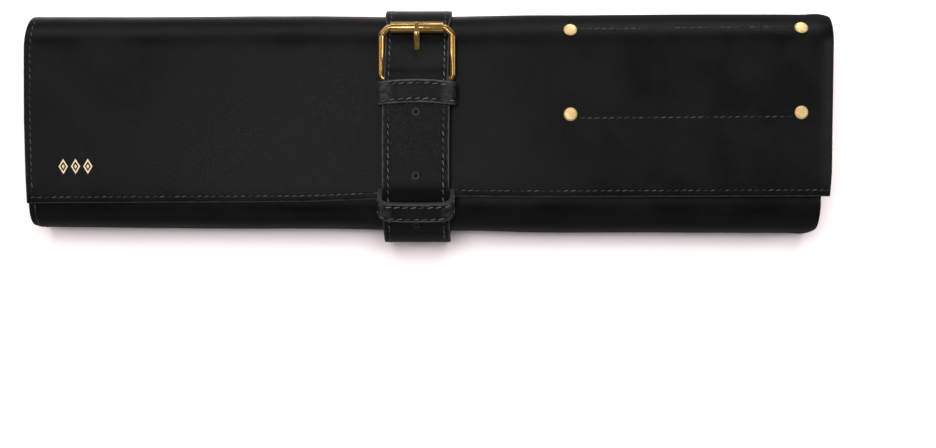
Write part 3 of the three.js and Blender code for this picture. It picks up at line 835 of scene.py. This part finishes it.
# The strap's first run under the keepers and over the heel bar, then its free end on top
firstRows = [
    {"along": looseFront - belt["easing"], "lift": gap, "thickness": belt["thickness"]},
    {"along": looseFront - reach, "lift": firstOnLoose, "thickness": belt["thickness"]},
    {"along": looseBack + reach, "lift": firstOnLoose, "thickness": belt["thickness"]},
    {"along": fixedFront - reach, "lift": firstOnFixed, "thickness": belt["thickness"]},
    {"along": fixedBack, "lift": firstOverBar - gap, "thickness": belt["skived"]},
    {"along": heelAlong, "lift": firstOverBar, "thickness": belt["skived"]},
]
freeRows = [
    {"along": looseFront - belt["easing"], "lift": gap + freeStep},
    {"along": looseFront - reach, "lift": firstOnLoose + freeStep},
    {"along": looseBack + reach, "lift": firstOnLoose + freeStep},
    {"along": fixedFront - reach, "lift": firstOnFixed + freeStep},
    {"along": fixedBack, "lift": freeOverBar},
    {"along": heelAlong + 2 * buckle["bar"], "lift": freeOverBar},
    {"along": prongAlong, "lift": freeOverBar * buckle["prongLiftShare"]},
    {"along": rollerAlong - buckle["rollerRadius"], "lift": gap},
]


# A table's value with its corners rounded off
def eased(rows, column, along):
    steps = [-1, -0.5, 0, 0.5, 1]
    return sum(tableValue(rows, "along", column, along + k * reach) for k in steps) / len(steps)


def freeLift(along):
    return eased(freeRows, "lift", along)


# The middles of the heel bar and of the roller, in y and z
heel = Vector((buckle["heel"], waist["top"] + barLift))
roller = Vector(loopPoint(waist, rollerAlong, belt["thickness"] + 2 * gap + buckle["rollerRadius"])[:2])


foldSteps = 14


# The strap's middle line, from the free tip to the end of the folded part
def strapLine():
    tipAlong = -(partStart(8) - partStart(6)) - (belt["tipTurn"] - 90) * perDegree(roll["frontCorner"])
    line = []

    def add(y, z, thickness, along=None):
        walked = 0
        if line:
            walked = line[-1]["walked"] + hypot(y - line[-1]["y"], z - line[-1]["z"])
        line.append({"y": y, "z": z, "thickness": thickness, "along": along, "walked": walked})

    lapEnd = loopLength + heelAlong
    for along in stepsOf(tipAlong, lapEnd, belt["lineStep"])[:-1]:
        lift, thickness = freeLift(along), belt["thickness"]
        if along > rollerAlong:
            lift = eased(firstRows, "lift", along - loopLength)
            thickness = eased(firstRows, "thickness", along - loopLength)
        y, z, angle = loopPoint(waist, along, lift + thickness / 2)
        add(y, z, thickness, along)
    foldRadius = eyeRadius + belt["skived"] / 2
    for i in range(foldSteps + 1):
        angle = pi / 2 - pi * i / foldSteps
        add(heel.x + foldRadius * cos(angle), heel.y + foldRadius * sin(angle), belt["skived"])
    for y in stepsOf(heel.x, heel.x - belt["returnLength"], -belt["lineStep"])[1:]:
        add(y, heel.y - foldRadius, belt["skived"])
    for i, point in enumerate(line):
        before, after = line[max(0, i - 2)], line[min(len(line) - 1, i + 2)]
        point["angle"] = atan2(after["z"] - before["z"], after["y"] - before["y"])
    for before, point in zip(line, line[1:]):
        while point["angle"] > before["angle"] + pi:
            point["angle"] -= 2 * pi
    return line


beltLine = strapLine()
freeLine = [point for point in beltLine if point["along"] is not None and point["along"] < loopLength / 2]
strapLength = beltLine[-1]["walked"]


# The middle line at a distance walked along it from the tip
def beltAt(walked):
    low, high = 0, len(beltLine) - 1
    while high - low > 1:
        middle = (low + high) // 2
        if beltLine[middle]["walked"] <= walked:
            low = middle
        else:
            high = middle
    a, b = beltLine[low], beltLine[high]
    share = (walked - a["walked"]) / (b["walked"] - a["walked"])
    return {column: lerp(a[column], b[column], share) for column in ("y", "z", "angle", "thickness")}


# The strap isn't laid quite straight: how far it sways sideways, by its place from front to back
swayRows = [
    {"y": -70 * mm, "shift": -0.3 * mm},
    {"y": -45 * mm, "shift": -0.7 * mm},
    {"y": -10 * mm, "shift": -0.7 * mm},
    {"y": 18 * mm, "shift": -0.25 * mm},
    {"y": 48 * mm, "shift": 0.1 * mm},
    {"y": 68 * mm, "shift": 0.7 * mm},
]


# The rounded tip narrows the whole strap, and the buckle's sides squeeze its margins
def beltAcross(across, walked):
    share = min(1, walked / belt["tipLength"])
    across *= lerp(belt["tipShare"], 1, sqrt(1 - (1 - share) ** 2))
    blend = belt["pinchBlend"]
    pinch = smooth((walked - walkedFold + blend * 2.5) / blend)
    pinch += smooth((walked - walkedFixed + blend) / blend) * smooth((walkedPast + blend - walked) / blend)
    margin = max(0, abs(across) - belt["width"] / 2 + belt["seamInset"]) / belt["seamInset"]
    return across - copysign(belt["pinch"] / 2 * pinch * margin, across)


# A point of the strap: across from its middle line, and up from its middle layer
def beltPoint(across, walked, up=0):
    at = beltAt(walked)
    x = belt["centre"] + beltAcross(across, walked) + tableValue(swayRows, "y", "shift", at["y"])
    y = at["y"] - up * sin(at["angle"])
    return origin + Vector((x, y, at["z"] + up * cos(at["angle"])))


# The distance walked along the free end, by its place along the loop
def walkedOf(along):
    return tableValue(freeLine, "along", "walked", along)


foldStart = [point["along"] for point in beltLine].index(None)
walkedFold = beltLine[foldStart]["walked"]
walkedFixed = walkedOf(fixedBack)
walkedPast = walkedOf(rollerAlong + buckle["rollerRadius"])

holeShifts = (belt["holePitch"], -belt["holePitch"], -2 * belt["holePitch"],
              -2 * belt["holePitch"] - belt["lastHolePitch"])
holeWalks = [walkedOf(prongAlong) + shift for shift in holeShifts]
# Lighter rings round the strap's holes, partly pressed leather and partly a painted highlight of their
# rounded rims, painted shade inside the holes, and a painted shadow on the strap behind the loose keeper
ringsAndPaintedShade = {
    "ring": 1.85 * mm, "ringWidth": 0.42 * mm, "ringColor": (0.032, 0.031, 0.03, 1), "dark": 1.4 * mm,
    "shadeStart": 1 * mm, "shadeLength": 7.5 * mm, "shadeBack": 8 * mm,
}


def addRingsAndPaintedShade(tree, place, color, rough):
    parts = split(tree, place)
    for walked in holeWalks:
        fromHole = {0: parts[0], 1: doMath(tree, "SUBTRACT", parts[1], walked)}
        fromHole = addNode(tree, "ShaderNodeCombineXYZ", fromHole).outputs[0]
        far = doVector(tree, "LENGTH", {0: fromHole})["Value"]
        ring = gapBetween(tree, far, ringsAndPaintedShade["ring"])
        ring = mapRange(tree, ring, ringsAndPaintedShade["ringWidth"] * 0.4, ringsAndPaintedShade["ringWidth"], 1.0, 0.0)
        # Painted highlight: the ring is lighter where the hole's rounded rim would catch the light
        color = mixColor(tree, ring, color, ringsAndPaintedShade["ringColor"])
        # Painted shade inside the hole
        color = mixColor(tree, doMath(tree, "LESS_THAN", far, ringsAndPaintedShade["dark"]), color, gray(0.0004))
    # Painted shadow on the strap just behind the loose keeper's raised rear edge, which is also made rougher
    start = walkedOf(looseLook["place"] - looseLook["lean"] + looseLook["width"])
    low, high = start - ringsAndPaintedShade["shadeStart"], start + ringsAndPaintedShade["shadeLength"]
    shade = product(tree, mapRange(tree, parts[1], low, high, 1.0, 0.0),
                    doMath(tree, "GREATER_THAN", parts[1], start - ringsAndPaintedShade["shadeBack"]))
    color = mixColor(tree, shade, color, gray(0.0003))
    return color, doMath(tree, "MULTIPLY_ADD", shade, 0.35, rough), 0.0


strapLeather = leatherMaterial("strapLeather", leathers["strap"], addRingsAndPaintedShade)
columnStep = belt["width"] / belt["across"]
slotReach = eyeRadius + buckle["eyeWall"] + 2 * gap + buckle["bar"] / 2
slotStart = walkedFold - slotReach
slotEnd = beltLine[foldStart + foldSteps]["walked"] + slotReach


# The edges at some vertices, in the same order each run
def edgesOf(verts):
    return list(dict.fromkeys(edge for vert in verts for edge in vert.link_edges))


# Opens a round or oval hole in the strap's grid, bridged to the cells round it
def openHole(bm, across, walked, halfWidth, halfLength):
    halfOpened = max(2 * belt["step"], halfLength + belt["step"])
    cells = [face for face in bm.faces
             if abs(face.calc_center_median().x - across) < 2 * columnStep
             and abs(face.calc_center_median().y - walked) < halfOpened]
    before = {edge for edge in bm.edges if edge.is_boundary}
    bmesh.ops.delete(bm, geom=cells, context="FACES")
    border = [edge for edge in bm.edges if edge.is_boundary and edge not in before]
    ring = bmesh.ops.create_circle(bm, segments=len(border), radius=1)["verts"]
    bmesh.ops.scale(bm, vec=(halfWidth, halfLength, 1), verts=ring)
    bmesh.ops.translate(bm, vec=(across, walked, 0), verts=ring)
    bmesh.ops.bridge_loops(bm, edges=border + edgesOf(ring))


def makeStrap():
    bm = bmesh.new()
    step = belt["step"]
    first = holeWalks[0] % step
    rows = [0.0] + [first + i * step for i in range(1, int((slotStart - first) / step))]
    rows += stepsOf(rows[-1], slotStart, step)[1:]
    rows += stepsOf(slotStart, slotEnd, step / 2)[1:]
    rows += stepsOf(slotEnd, strapLength, step)[1:]
    bmesh.ops.create_grid(bm, x_segments=belt["across"], y_segments=len(rows) - 1, size=0.5)
    for vert in bm.verts:
        index = round((vert.co.y + 0.5) * (len(rows) - 1))
        vert.co = Vector((vert.co.x * belt["width"], rows[index], 0))
    for walked in holeWalks:
        openHole(bm, 0, walked, belt["holeDiameter"] / 2, belt["holeDiameter"] / 2)
    openHole(bm, 0, walkedOf(prongAlong), belt["prongHalfWidth"], belt["prongHalfLength"])
    slot = [face for face in bm.faces if abs(face.calc_center_median().x) < columnStep
            and slotStart < face.calc_center_median().y < slotEnd]
    bmesh.ops.delete(bm, geom=slot, context="FACES")
    bmesh.ops.recalc_face_normals(bm, faces=bm.faces[:])
    if sum(face.normal.z for face in bm.faces) < 0:
        bmesh.ops.reverse_faces(bm, faces=bm.faces[:])
    bm.verts.index_update()
    weights = {vert.index: beltAt(vert.co.y)["thickness"] / belt["thickness"] for vert in bm.verts}
    laySheet(bm, beltPoint, lambda across, walked: (across, walked))
    strap = finishPiece("buckledStrap", bm, [strapLeather, fleshSide, cutEdge], ["strap"])
    thicken(strap, belt["thickness"], 0, belt["bevel"], weights)


def makeStrapStitches():
    bm = bmesh.new()
    inset = belt["width"] / 2 - belt["seamInset"]
    for walked in stepsOf(stitches["fromTip"], slotStart, stitches["pitch"]):
        at = beltAt(walked)
        alongDir = Vector((0, cos(at["angle"]), sin(at["angle"])))
        out = Vector((0, -sin(at["angle"]), cos(at["angle"])))
        for side in (-1, 1):
            addStitch(bm, beltPoint(side * inset, walked, at["thickness"] / 2), alongDir, out)
    finishPiece("strapStitches", bm, [sewingThread])


makeStrap()
makeStrapStitches()
print("strap made")


# The inner outline of a keeper: across the strap, up from the lower run, and the outward angle
def keeperOutline(look, height):
    half, low, topRadius = look["inner"] / 2, keepers["lowRadius"], look["radius"]
    top = height - topRadius
    corners = [(low - half, low, low, 180), (half - low, low, low, 270),
               (half - topRadius, top, topRadius, 0), (topRadius - half, top, topRadius, 90)]
    points = []
    for index, (x, h, radius, start) in enumerate(corners):
        for i in range(keepers["cornerSteps"] + 1):
            angle = radians(start + 90 * i / keepers["cornerSteps"])
            points.append((x + radius * cos(angle), h + radius * sin(angle), angle))
        nextX, nextH, nextRadius, nextStart = corners[(index + 1) % 4]
        angle = radians(nextStart)
        ahead = (nextX + nextRadius * cos(angle), nextH + nextRadius * sin(angle))
        count = keepers["flatSteps"] if index in (0, 2) else keepers["sideSteps"]
        for i in range(1, count):
            share = 1 / (count - i + 1)
            points.append((lerp(points[-1][0], ahead[0], share), lerp(points[-1][1], ahead[1], share), angle))
    points.append(points[0])
    return [(x, h - look["bow"] * (x / half) ** 2 * (h > height / 2), angle) for x, h, angle in points]


def makeKeeper(name, node, lowLine, topLine, look):
    count = 4 * keepers["cornerSteps"] + 2 * (keepers["flatSteps"] + keepers["sideSteps"])
    bm = bmesh.new()
    bmesh.ops.create_grid(bm, x_segments=count, y_segments=keepers["rows"], size=0.5)

    # A point of the keeper's middle layer or above it, with its wall there, and its x and height
    def pointAt(column, share, up=0):
        low, top = Vector(lowLine(share)[:2]), Vector(topLine(share)[:2])
        height = (top - low).length
        rise = (top - low) / height
        x, h, angle = keeperOutline(look, height)[column]
        wall = lerp(keepers["wall"], keepers["tuck"], max(0, -sin(angle)))
        x, h = x + (wall / 2 + up) * cos(angle), h + (wall / 2 + up) * sin(angle)
        swept = look["sweep"] * max(0, 1 - (2 * x / look["inner"]) ** 2) * smooth(h / height)
        point = Vector((belt["centre"] + look["shift"] + x, low.x + rise.x * h + swept, low.y + rise.y * h))
        return origin + point, wall, x, h

    lengths = [0.0]
    for column in range(count):
        lengths.append(lengths[-1] + (pointAt(column + 1, 0.5)[0] - pointAt(column, 0.5)[0]).length)

    def place(u, v):
        column, share = round((u + 0.5) * count), v + 0.5
        x, h = pointAt(column, share)[2:]
        if h < keepers["tuck"] and abs(x) < keepers["notchHalf"]:
            share *= 1 - look["notch"] / look["width"]
        return pointAt(column, share)[0]

    def flat(u, v):
        return lengths[round((u + 0.5) * count)], (v + 0.5) * fixedLook["width"]

    weights = {}
    for vert in bm.verts:
        column = round((vert.co.x + 0.5) * count)
        weights[vert] = pointAt(column, vert.co.y + 0.5)[1] / keepers["wall"]
    laySheet(bm, place, flat)
    bmesh.ops.reverse_faces(bm, faces=bm.faces[:])
    bmesh.ops.remove_doubles(bm, verts=bm.verts[:], dist=0.01 * mm)
    bm.verts.index_update()
    weights = {vert.index: weight for vert, weight in weights.items() if vert.is_valid}
    keeper = finishPiece(name, bm, [keeperLeather, fleshSide, cutEdge], [node])
    thicken(keeper, keepers["wall"], 0, keepers["bevel"], weights)

    sewing = bmesh.new()
    for share in (keepers["seamShare"], 1 - keepers["seamShare"]):
        total = 0.0
        for column in range(count):
            here, wall = pointAt(column, share)[:2]
            ahead = pointAt(column + 1, share)[0]
            run = (ahead - here).length
            if run < 1e-6:
                continue
            out = (pointAt(column, share, 0.001)[0] - here).normalized()
            while total <= run:
                spot = here.lerp(ahead, total / run) + out * wall / 2
                if out.z > -0.5:
                    addStitch(sewing, spot, (ahead - here).normalized(), out, keepers["stitchLength"])
                total += keepers["stitchPitch"]
            total -= run
    finishPiece(name + "Stitches", sewing, [sewingThread])


def fixedLow(share):
    return loopPoint(waist, lerp(fixedFront, fixedBack, share), fixedTuckTop)


def fixedTop(share):
    along = lerp(fixedFront, fixedBack, share)
    return loopPoint(waist, along, freeLift(along) + freeStep + fixedLook["bow"] + gap)


def looseLow(share):
    return loopPoint(waist, lerp(looseFront, looseBack, share), looseTuckTop)


def looseTop(share):
    frontAlong = looseLook["place"] - looseLook["lean"]
    lift = freeLift(frontAlong) + belt["thickness"] + looseLook["stand"]
    y, z, angle = loopPoint(waist, frontAlong, lift)
    tilt = radians(looseLook["tilt"])
    return y + looseLook["width"] * share * cos(tilt), z + looseLook["width"] * share * sin(tilt)


makeKeeper("fixedKeeper", "fixed_keeper", fixedLow, fixedTop, fixedLook)
makeKeeper("looseKeeper", "loose_keeper", looseLow, looseTop, looseLook)
print("keepers made")


# Extrudes a ring of edges in place. Gives the new ring's vertices and its edges
def extrudeRing(bm, edges):
    made = bmesh.ops.extrude_edge_only(bm, edges=edges)["geom"]
    verts = [item for item in made if isinstance(item, bmesh.types.BMVert)]
    edges = [item for item in made if isinstance(item, bmesh.types.BMEdge)
             and all(vert in verts for vert in item.verts)]
    return verts, edges


# The buckle: a bent round bar, its roller and its prong
def inBuckle(across, along, up):
    tilt = (roller - heel).normalized()
    return origin + Vector((belt["centre"] + across, heel.x + tilt.x * along - tilt.y * up,
                            heel.y + tilt.y * along + tilt.x * up))


def makeFrame():
    bm = bmesh.new()
    side = buckle["innerWidth"] / 2 + buckle["bar"]
    length = (roller - heel).length
    ring = bmesh.ops.create_circle(bm, segments=20, radius=buckle["bar"],
                                   matrix=Matrix.Rotation(pi / 2, 4, "Y"))["verts"]
    edges = edgesOf(ring)
    place, turn = Vector((0, 0, 0)), 0.0

    def go(run, steps):
        nonlocal edges, place
        move = Vector((cos(turn), sin(turn), 0)) * run
        for i in range(steps):
            verts, edges = extrudeRing(bm, edges)
            bmesh.ops.translate(bm, vec=move / steps, verts=verts)
        place += move

    def bend(angle, radius):
        nonlocal edges, place, turn
        centre = place + Vector((-sin(turn), cos(turn), 0)) * radius
        made = bmesh.ops.spin(bm, geom=edges, cent=centre, axis=(0, 0, 1), angle=radians(angle), steps=8)
        edges = [item for item in made["geom_last"] if isinstance(item, bmesh.types.BMEdge)]
        turn += radians(angle)
        place = centre + Vector((sin(turn), -cos(turn), 0)) * radius

    corner, cutRadius = buckle["cornerRadius"], buckle["cutRadius"]
    trim = cutRadius * tan(pi / 8)
    cut = buckle["cut"]
    legs = [(side - corner, 4, 90, corner), (length - cut - corner - trim, 4, 45, cutRadius),
            (cut * sqrt(2) - 2 * trim, 2, 45, cutRadius)]
    for run, steps, angle, radius in legs:
        go(run, steps)
        bend(angle, radius)
    go(2 * (side - cut - trim), 8)
    for run, steps, angle, radius in reversed(legs):
        bend(angle, radius)
        go(run, steps)
    bmesh.ops.remove_doubles(bm, verts=bm.verts[:], dist=0.01 * mm)
    for vert in bm.verts:
        vert.co = inBuckle(*vert.co)
    bmesh.ops.recalc_face_normals(bm, faces=bm.faces[:])
    finishPiece("buckleFrame", bm, [buckleBrass], ["buckle_frame"])


# A turned piece: its profile of radius and height, spun round its own axis and closed
def turned(bm, profile, steps, matrix):
    verts = [bm.verts.new((radius, 0, height)) for radius, height in profile]
    edges = [bm.edges.new(pair) for pair in zip(verts, verts[1:])]
    bmesh.ops.spin(bm, geom=verts + edges, cent=(0, 0, 0), axis=(0, 0, 1), angle=2 * pi, steps=steps,
                   use_merge=True)
    made = [vert for vert in bm.verts if not vert.tag]
    bmesh.ops.remove_doubles(bm, verts=made, dist=0.002 * mm)
    made = [vert for vert in bm.verts if not vert.tag]
    bmesh.ops.transform(bm, matrix=matrix, verts=made)
    for vert in made:
        vert.tag = True


def roundedTube(inner, outer, length, edge):
    half = length / 2
    start, turns = edge - half, (0.4, 0.8, 1.2)
    profile = [(inner, start)]
    profile += [(inner + edge - edge * cos(a), start - edge * sin(a)) for a in turns]
    profile += [(outer - edge + edge * sin(a), start - edge * cos(a)) for a in (0, *turns, pi / 2)]
    upper = [(radius, -height) for radius, height in reversed(profile)]
    return profile + upper + [profile[0]]


def alongX(y, z):
    return Matrix.Translation(origin + Vector((belt["centre"], y, z))) @ Matrix.Rotation(pi / 2, 4, "Y")


def makeRoller():
    bm = bmesh.new()
    tube = roundedTube(eyeRadius, buckle["rollerRadius"], buckle["rollerLength"], buckle["rollerEdge"])
    turned(bm, tube, 48, alongX(*roller))
    bmesh.ops.recalc_face_normals(bm, faces=bm.faces[:])
    finishPiece("buckleRoller", bm, [buckleBrass], ["buckle_roller"])


def catmull(points, share):
    spans = len(points) - 1
    at = min(spans - 1, int(share * spans))
    t = share * spans - at
    p = [points[max(0, min(spans, at + k))] for k in (-1, 0, 1, 2)]
    return 0.5 * (2 * p[1] + (p[2] - p[0]) * t + (2 * p[0] - 5 * p[1] + 4 * p[2] - p[3]) * t ** 2
                  + (3 * p[1] - p[0] - 3 * p[2] + p[3]) * t ** 3)


def prongLine():
    half = buckle["prongThickness"] / 2
    under = buckle["prongHole"] - buckle["prongBend"]
    hole = loopPoint(waist, prongAlong, freeLift(prongAlong) + belt["thickness"] / 2)
    over = roller.y + buckle["rollerRadius"] + 1.5 * gap + half
    return [Vector(pair) for pair in (
        (heel.x + eyeRadius + buckle["eyeWall"] / 2, heel.y - 0.6 * mm),
        (under, waist["top"] + freeLift(topAt(under)) - gap - half),
        hole[:2],
        (roller.x - buckle["prongBend"], over),
        (roller.x, over),
        (roller.x + buckle["overhang"], over - 0.7 * mm),
    )]


def makeProng():
    bm = bmesh.new()
    tube = roundedTube(eyeRadius, eyeRadius + buckle["eyeWall"], buckle["prongWidth"], buckle["eyeEdge"])
    turned(bm, tube, 40, alongX(*heel))
    line, steps, boxiness = prongLine(), 40, 0.6
    spots = [catmull(line, i / steps) for i in range(steps + 1)]
    ring = bmesh.ops.create_circle(bm, segments=16, radius=0.5)["verts"]
    edges = edgesOf(ring)
    shape = {vert: vert.co.copy() for vert in ring}
    bmesh.ops.contextual_create(bm, geom=edges)
    for i, spot in enumerate(spots):
        ahead = (spots[min(steps, i + 1)] - spots[max(0, i - 1)]).normalized()
        nearTip = smooth((spot.x - roller.x + buckle["rollerRadius"]) / buckle["prongThickness"])
        tipRound = sqrt(max(0.02, 1 - max(0, (i - steps + 3) / 3.2) ** 2))
        width = lerp(buckle["prongWidth"], buckle["prongTipWidth"], nearTip) * tipRound
        depth = buckle["prongThickness"] * tipRound
        for vert, co in shape.items():
            across, up = (copysign(abs(2 * value) ** boxiness, value) for value in co.xy)
            y, z = spot.x - ahead.y * up * depth / 2, spot.y + ahead.x * up * depth / 2
            vert.co = origin + Vector((belt["centre"] + across * width / 2, y, z))
        if i == steps:
            break
        verts, edges = extrudeRing(bm, edges)
        nextShape = {}
        for vert, co in shape.items():
            match = min(verts, key=lambda other: (other.co - vert.co).length)
            nextShape[match] = co
        shape = nextShape
    bmesh.ops.contextual_create(bm, geom=edges)
    bmesh.ops.recalc_face_normals(bm, faces=bm.faces[:])
    finishPiece("buckleProng", bm, [buckleBrass], ["buckle_prong"])


makeFrame()
makeRoller()
makeProng()
print("buckle made")


# The rivets
def makeRivet(index, x, along):
    point, acrossDir, _, out = sheetFrame(x, along)
    base = -rivets["sunk"]
    top, cap, bevel = base + rivets["capHeight"], rivets["capRadius"], rivets["bevel"]
    backRadius, post = rivets["backRadius"], rivets["postRadius"]
    curve = backRadius ** 2 / (2 * (roll["backCorner"] - roll["thickness"]))
    back = -roll["thickness"] - rivets["backGap"] - curve
    profile = [
        (0, back - rivets["backHeight"]),
        (backRadius - 0.3 * mm, back - rivets["backHeight"]),
        (backRadius, back - 0.35 * mm),
        (backRadius, back),
        (post, back),
        (post, base),
        (cap - 0.15 * mm, base),
        (cap, base + 0.15 * mm),
        (cap, top - bevel - 0.05 * mm),
        (cap - 0.08 * mm, top - bevel + 0.08 * mm),
        (cap - bevel, top - 0.06 * mm),
        (cap - bevel - 0.1 * mm, top),
        (0, top),
    ]
    bm = bmesh.new()
    axes = Matrix((acrossDir, out.cross(acrossDir), out)).transposed().to_4x4()
    turned(bm, profile, 64, Matrix.Translation(point) @ axes)
    bmesh.ops.recalc_face_normals(bm, faces=bm.faces[:])
    rivet = finishPiece(f"rivet{index}", bm, [rivetBrass], [f"rivet_{index}"])
    sharp = rivet.modifiers.new("Edges", "BEVEL")
    sharp.limit_method = "ANGLE"
    sharp.angle_limit = radians(25)
    sharp.width = 0.06 * mm
    sharp.segments = 2


for index, (x, along) in enumerate(rivetPlaces()):
    makeRivet(index + 1, x, along)
print("rivets made")


# A plain pale floor. Reflections see it dark, apart from a strip behind the left half of the roll
floorLook = {
    "size": 4,
    "colors": ((0.94, 0.84, 0.84, 1), (0.955, 0.86, 0.86, 1)),
    "mirrored": (0.12, 0.115, 0.115, 1),
    "strip": (0.95, 0.93, 0.93, 1),
    "stripNear": (0.05, 0.07),
    "stripFar": (0.085, 0.125),
    "stripRight": (0.0, 0.08),
}


def floorMaterial():
    material, tree, shader = newMaterial("paleFloor")
    place = objectPlace(tree)
    color = mixColor(tree, noiseOn(tree, place, 2.0, 2.0)["Fac"], *floorLook["colors"])
    parts = split(tree, place)
    strip = product(tree, mapRange(tree, parts[1], *floorLook["stripNear"]),
                    mapRange(tree, parts[0], *floorLook["stripRight"], 1.0, 0.0))
    strip = product(tree, strip, mapRange(tree, parts[1], *floorLook["stripFar"], 1.0, 0.0))
    mirrored = mixColor(tree, strip, floorLook["mirrored"], floorLook["strip"])
    glossy = addNode(tree, "ShaderNodeLightPath").outputs["Is Glossy Ray"]
    feed(tree, mixColor(tree, glossy, color, mirrored), shader.inputs["Base Color"])
    shader.inputs["Roughness"].default_value = 0.8
    shader.inputs["Specular IOR Level"].default_value = 0.2
    return material


def makeFloor():
    bm = bmesh.new()
    bmesh.ops.create_grid(bm, x_segments=4, y_segments=4, size=floorLook["size"])
    mesh = bpy.data.meshes.new("floor")
    bm.to_mesh(mesh)
    bm.free()
    mesh.materials.append(floorMaterial())
    floorPiece = bpy.data.objects.new("floor", mesh)
    bpy.context.scene.collection.objects.link(floorPiece)


# Places and sizes in metres, and power in watts. Every light points at the roll
world = 0.08
lights = {
    "fill": {"place": (0.0, 0.36, 1.55), "size": (1.0, 0.95), "power": 35.0, "glossy": False},
    "sheen": {"place": (-0.13, -0.01, 0.93), "size": (0.25, 0.2), "power": 1.02, "glossy": True},
    "rightSide": {"place": (1.15, 0.2, 1.0), "size": (0.3, 0.8), "power": 3.0, "glossy": True},
    "leftSide": {"place": (-1.15, 0.2, 1.0), "size": (0.3, 0.8), "power": 1.9, "glossy": True},
    "back": {"place": (-0.45, 0.95, 0.5), "size": (0.9, 0.25), "power": 1.7, "glossy": True},
    "lowBack": {"place": (0.35, 1.3, 0.45), "size": (0.7, 0.2), "power": 2.6, "glossy": True},
    "lowFront": {"place": (0.0, -1.15, 0.4), "size": (1.6, 0.4), "power": 0.6, "glossy": True},
}


def addLight(name, look):
    data = bpy.data.lights.new(name, "AREA")
    data.shape = "RECTANGLE"
    data.size, data.size_y = look["size"]
    data.energy = look["power"]
    light = bpy.data.objects.new(name, data)
    light.location = look["place"]
    light.rotation_euler = (-Vector(look["place"])).to_track_quat("-Z", "Y").to_euler()
    light.visible_glossy = look["glossy"]
    bpy.context.scene.collection.objects.link(light)


def makeStudio():
    studio = bpy.data.worlds.new("studio")
    studio.use_nodes = True
    studio.node_tree.nodes["Background"].inputs["Color"].default_value = (world, world, world, 1)
    bpy.context.scene.world = studio
    for name, look in lights.items():
        addLight(name + "Light", look)
    bpy.context.scene.view_settings.view_transform = "Standard"


# The camera looks straight down, from a little in front of the roll's middle
camera = {"place": (0.0236, -0.0592, 0.85), "lens": 51.9, "sensor": 36}


def makeCamera():
    data = bpy.data.cameras.new("camera")
    data.lens = camera["lens"]
    data.sensor_width = camera["sensor"]
    view = bpy.data.objects.new("camera", data)
    view.location = camera["place"]
    bpy.context.scene.collection.objects.link(view)
    bpy.context.scene.camera = view


makeFloor()
makeStudio()
makeCamera()
print("studio ready")
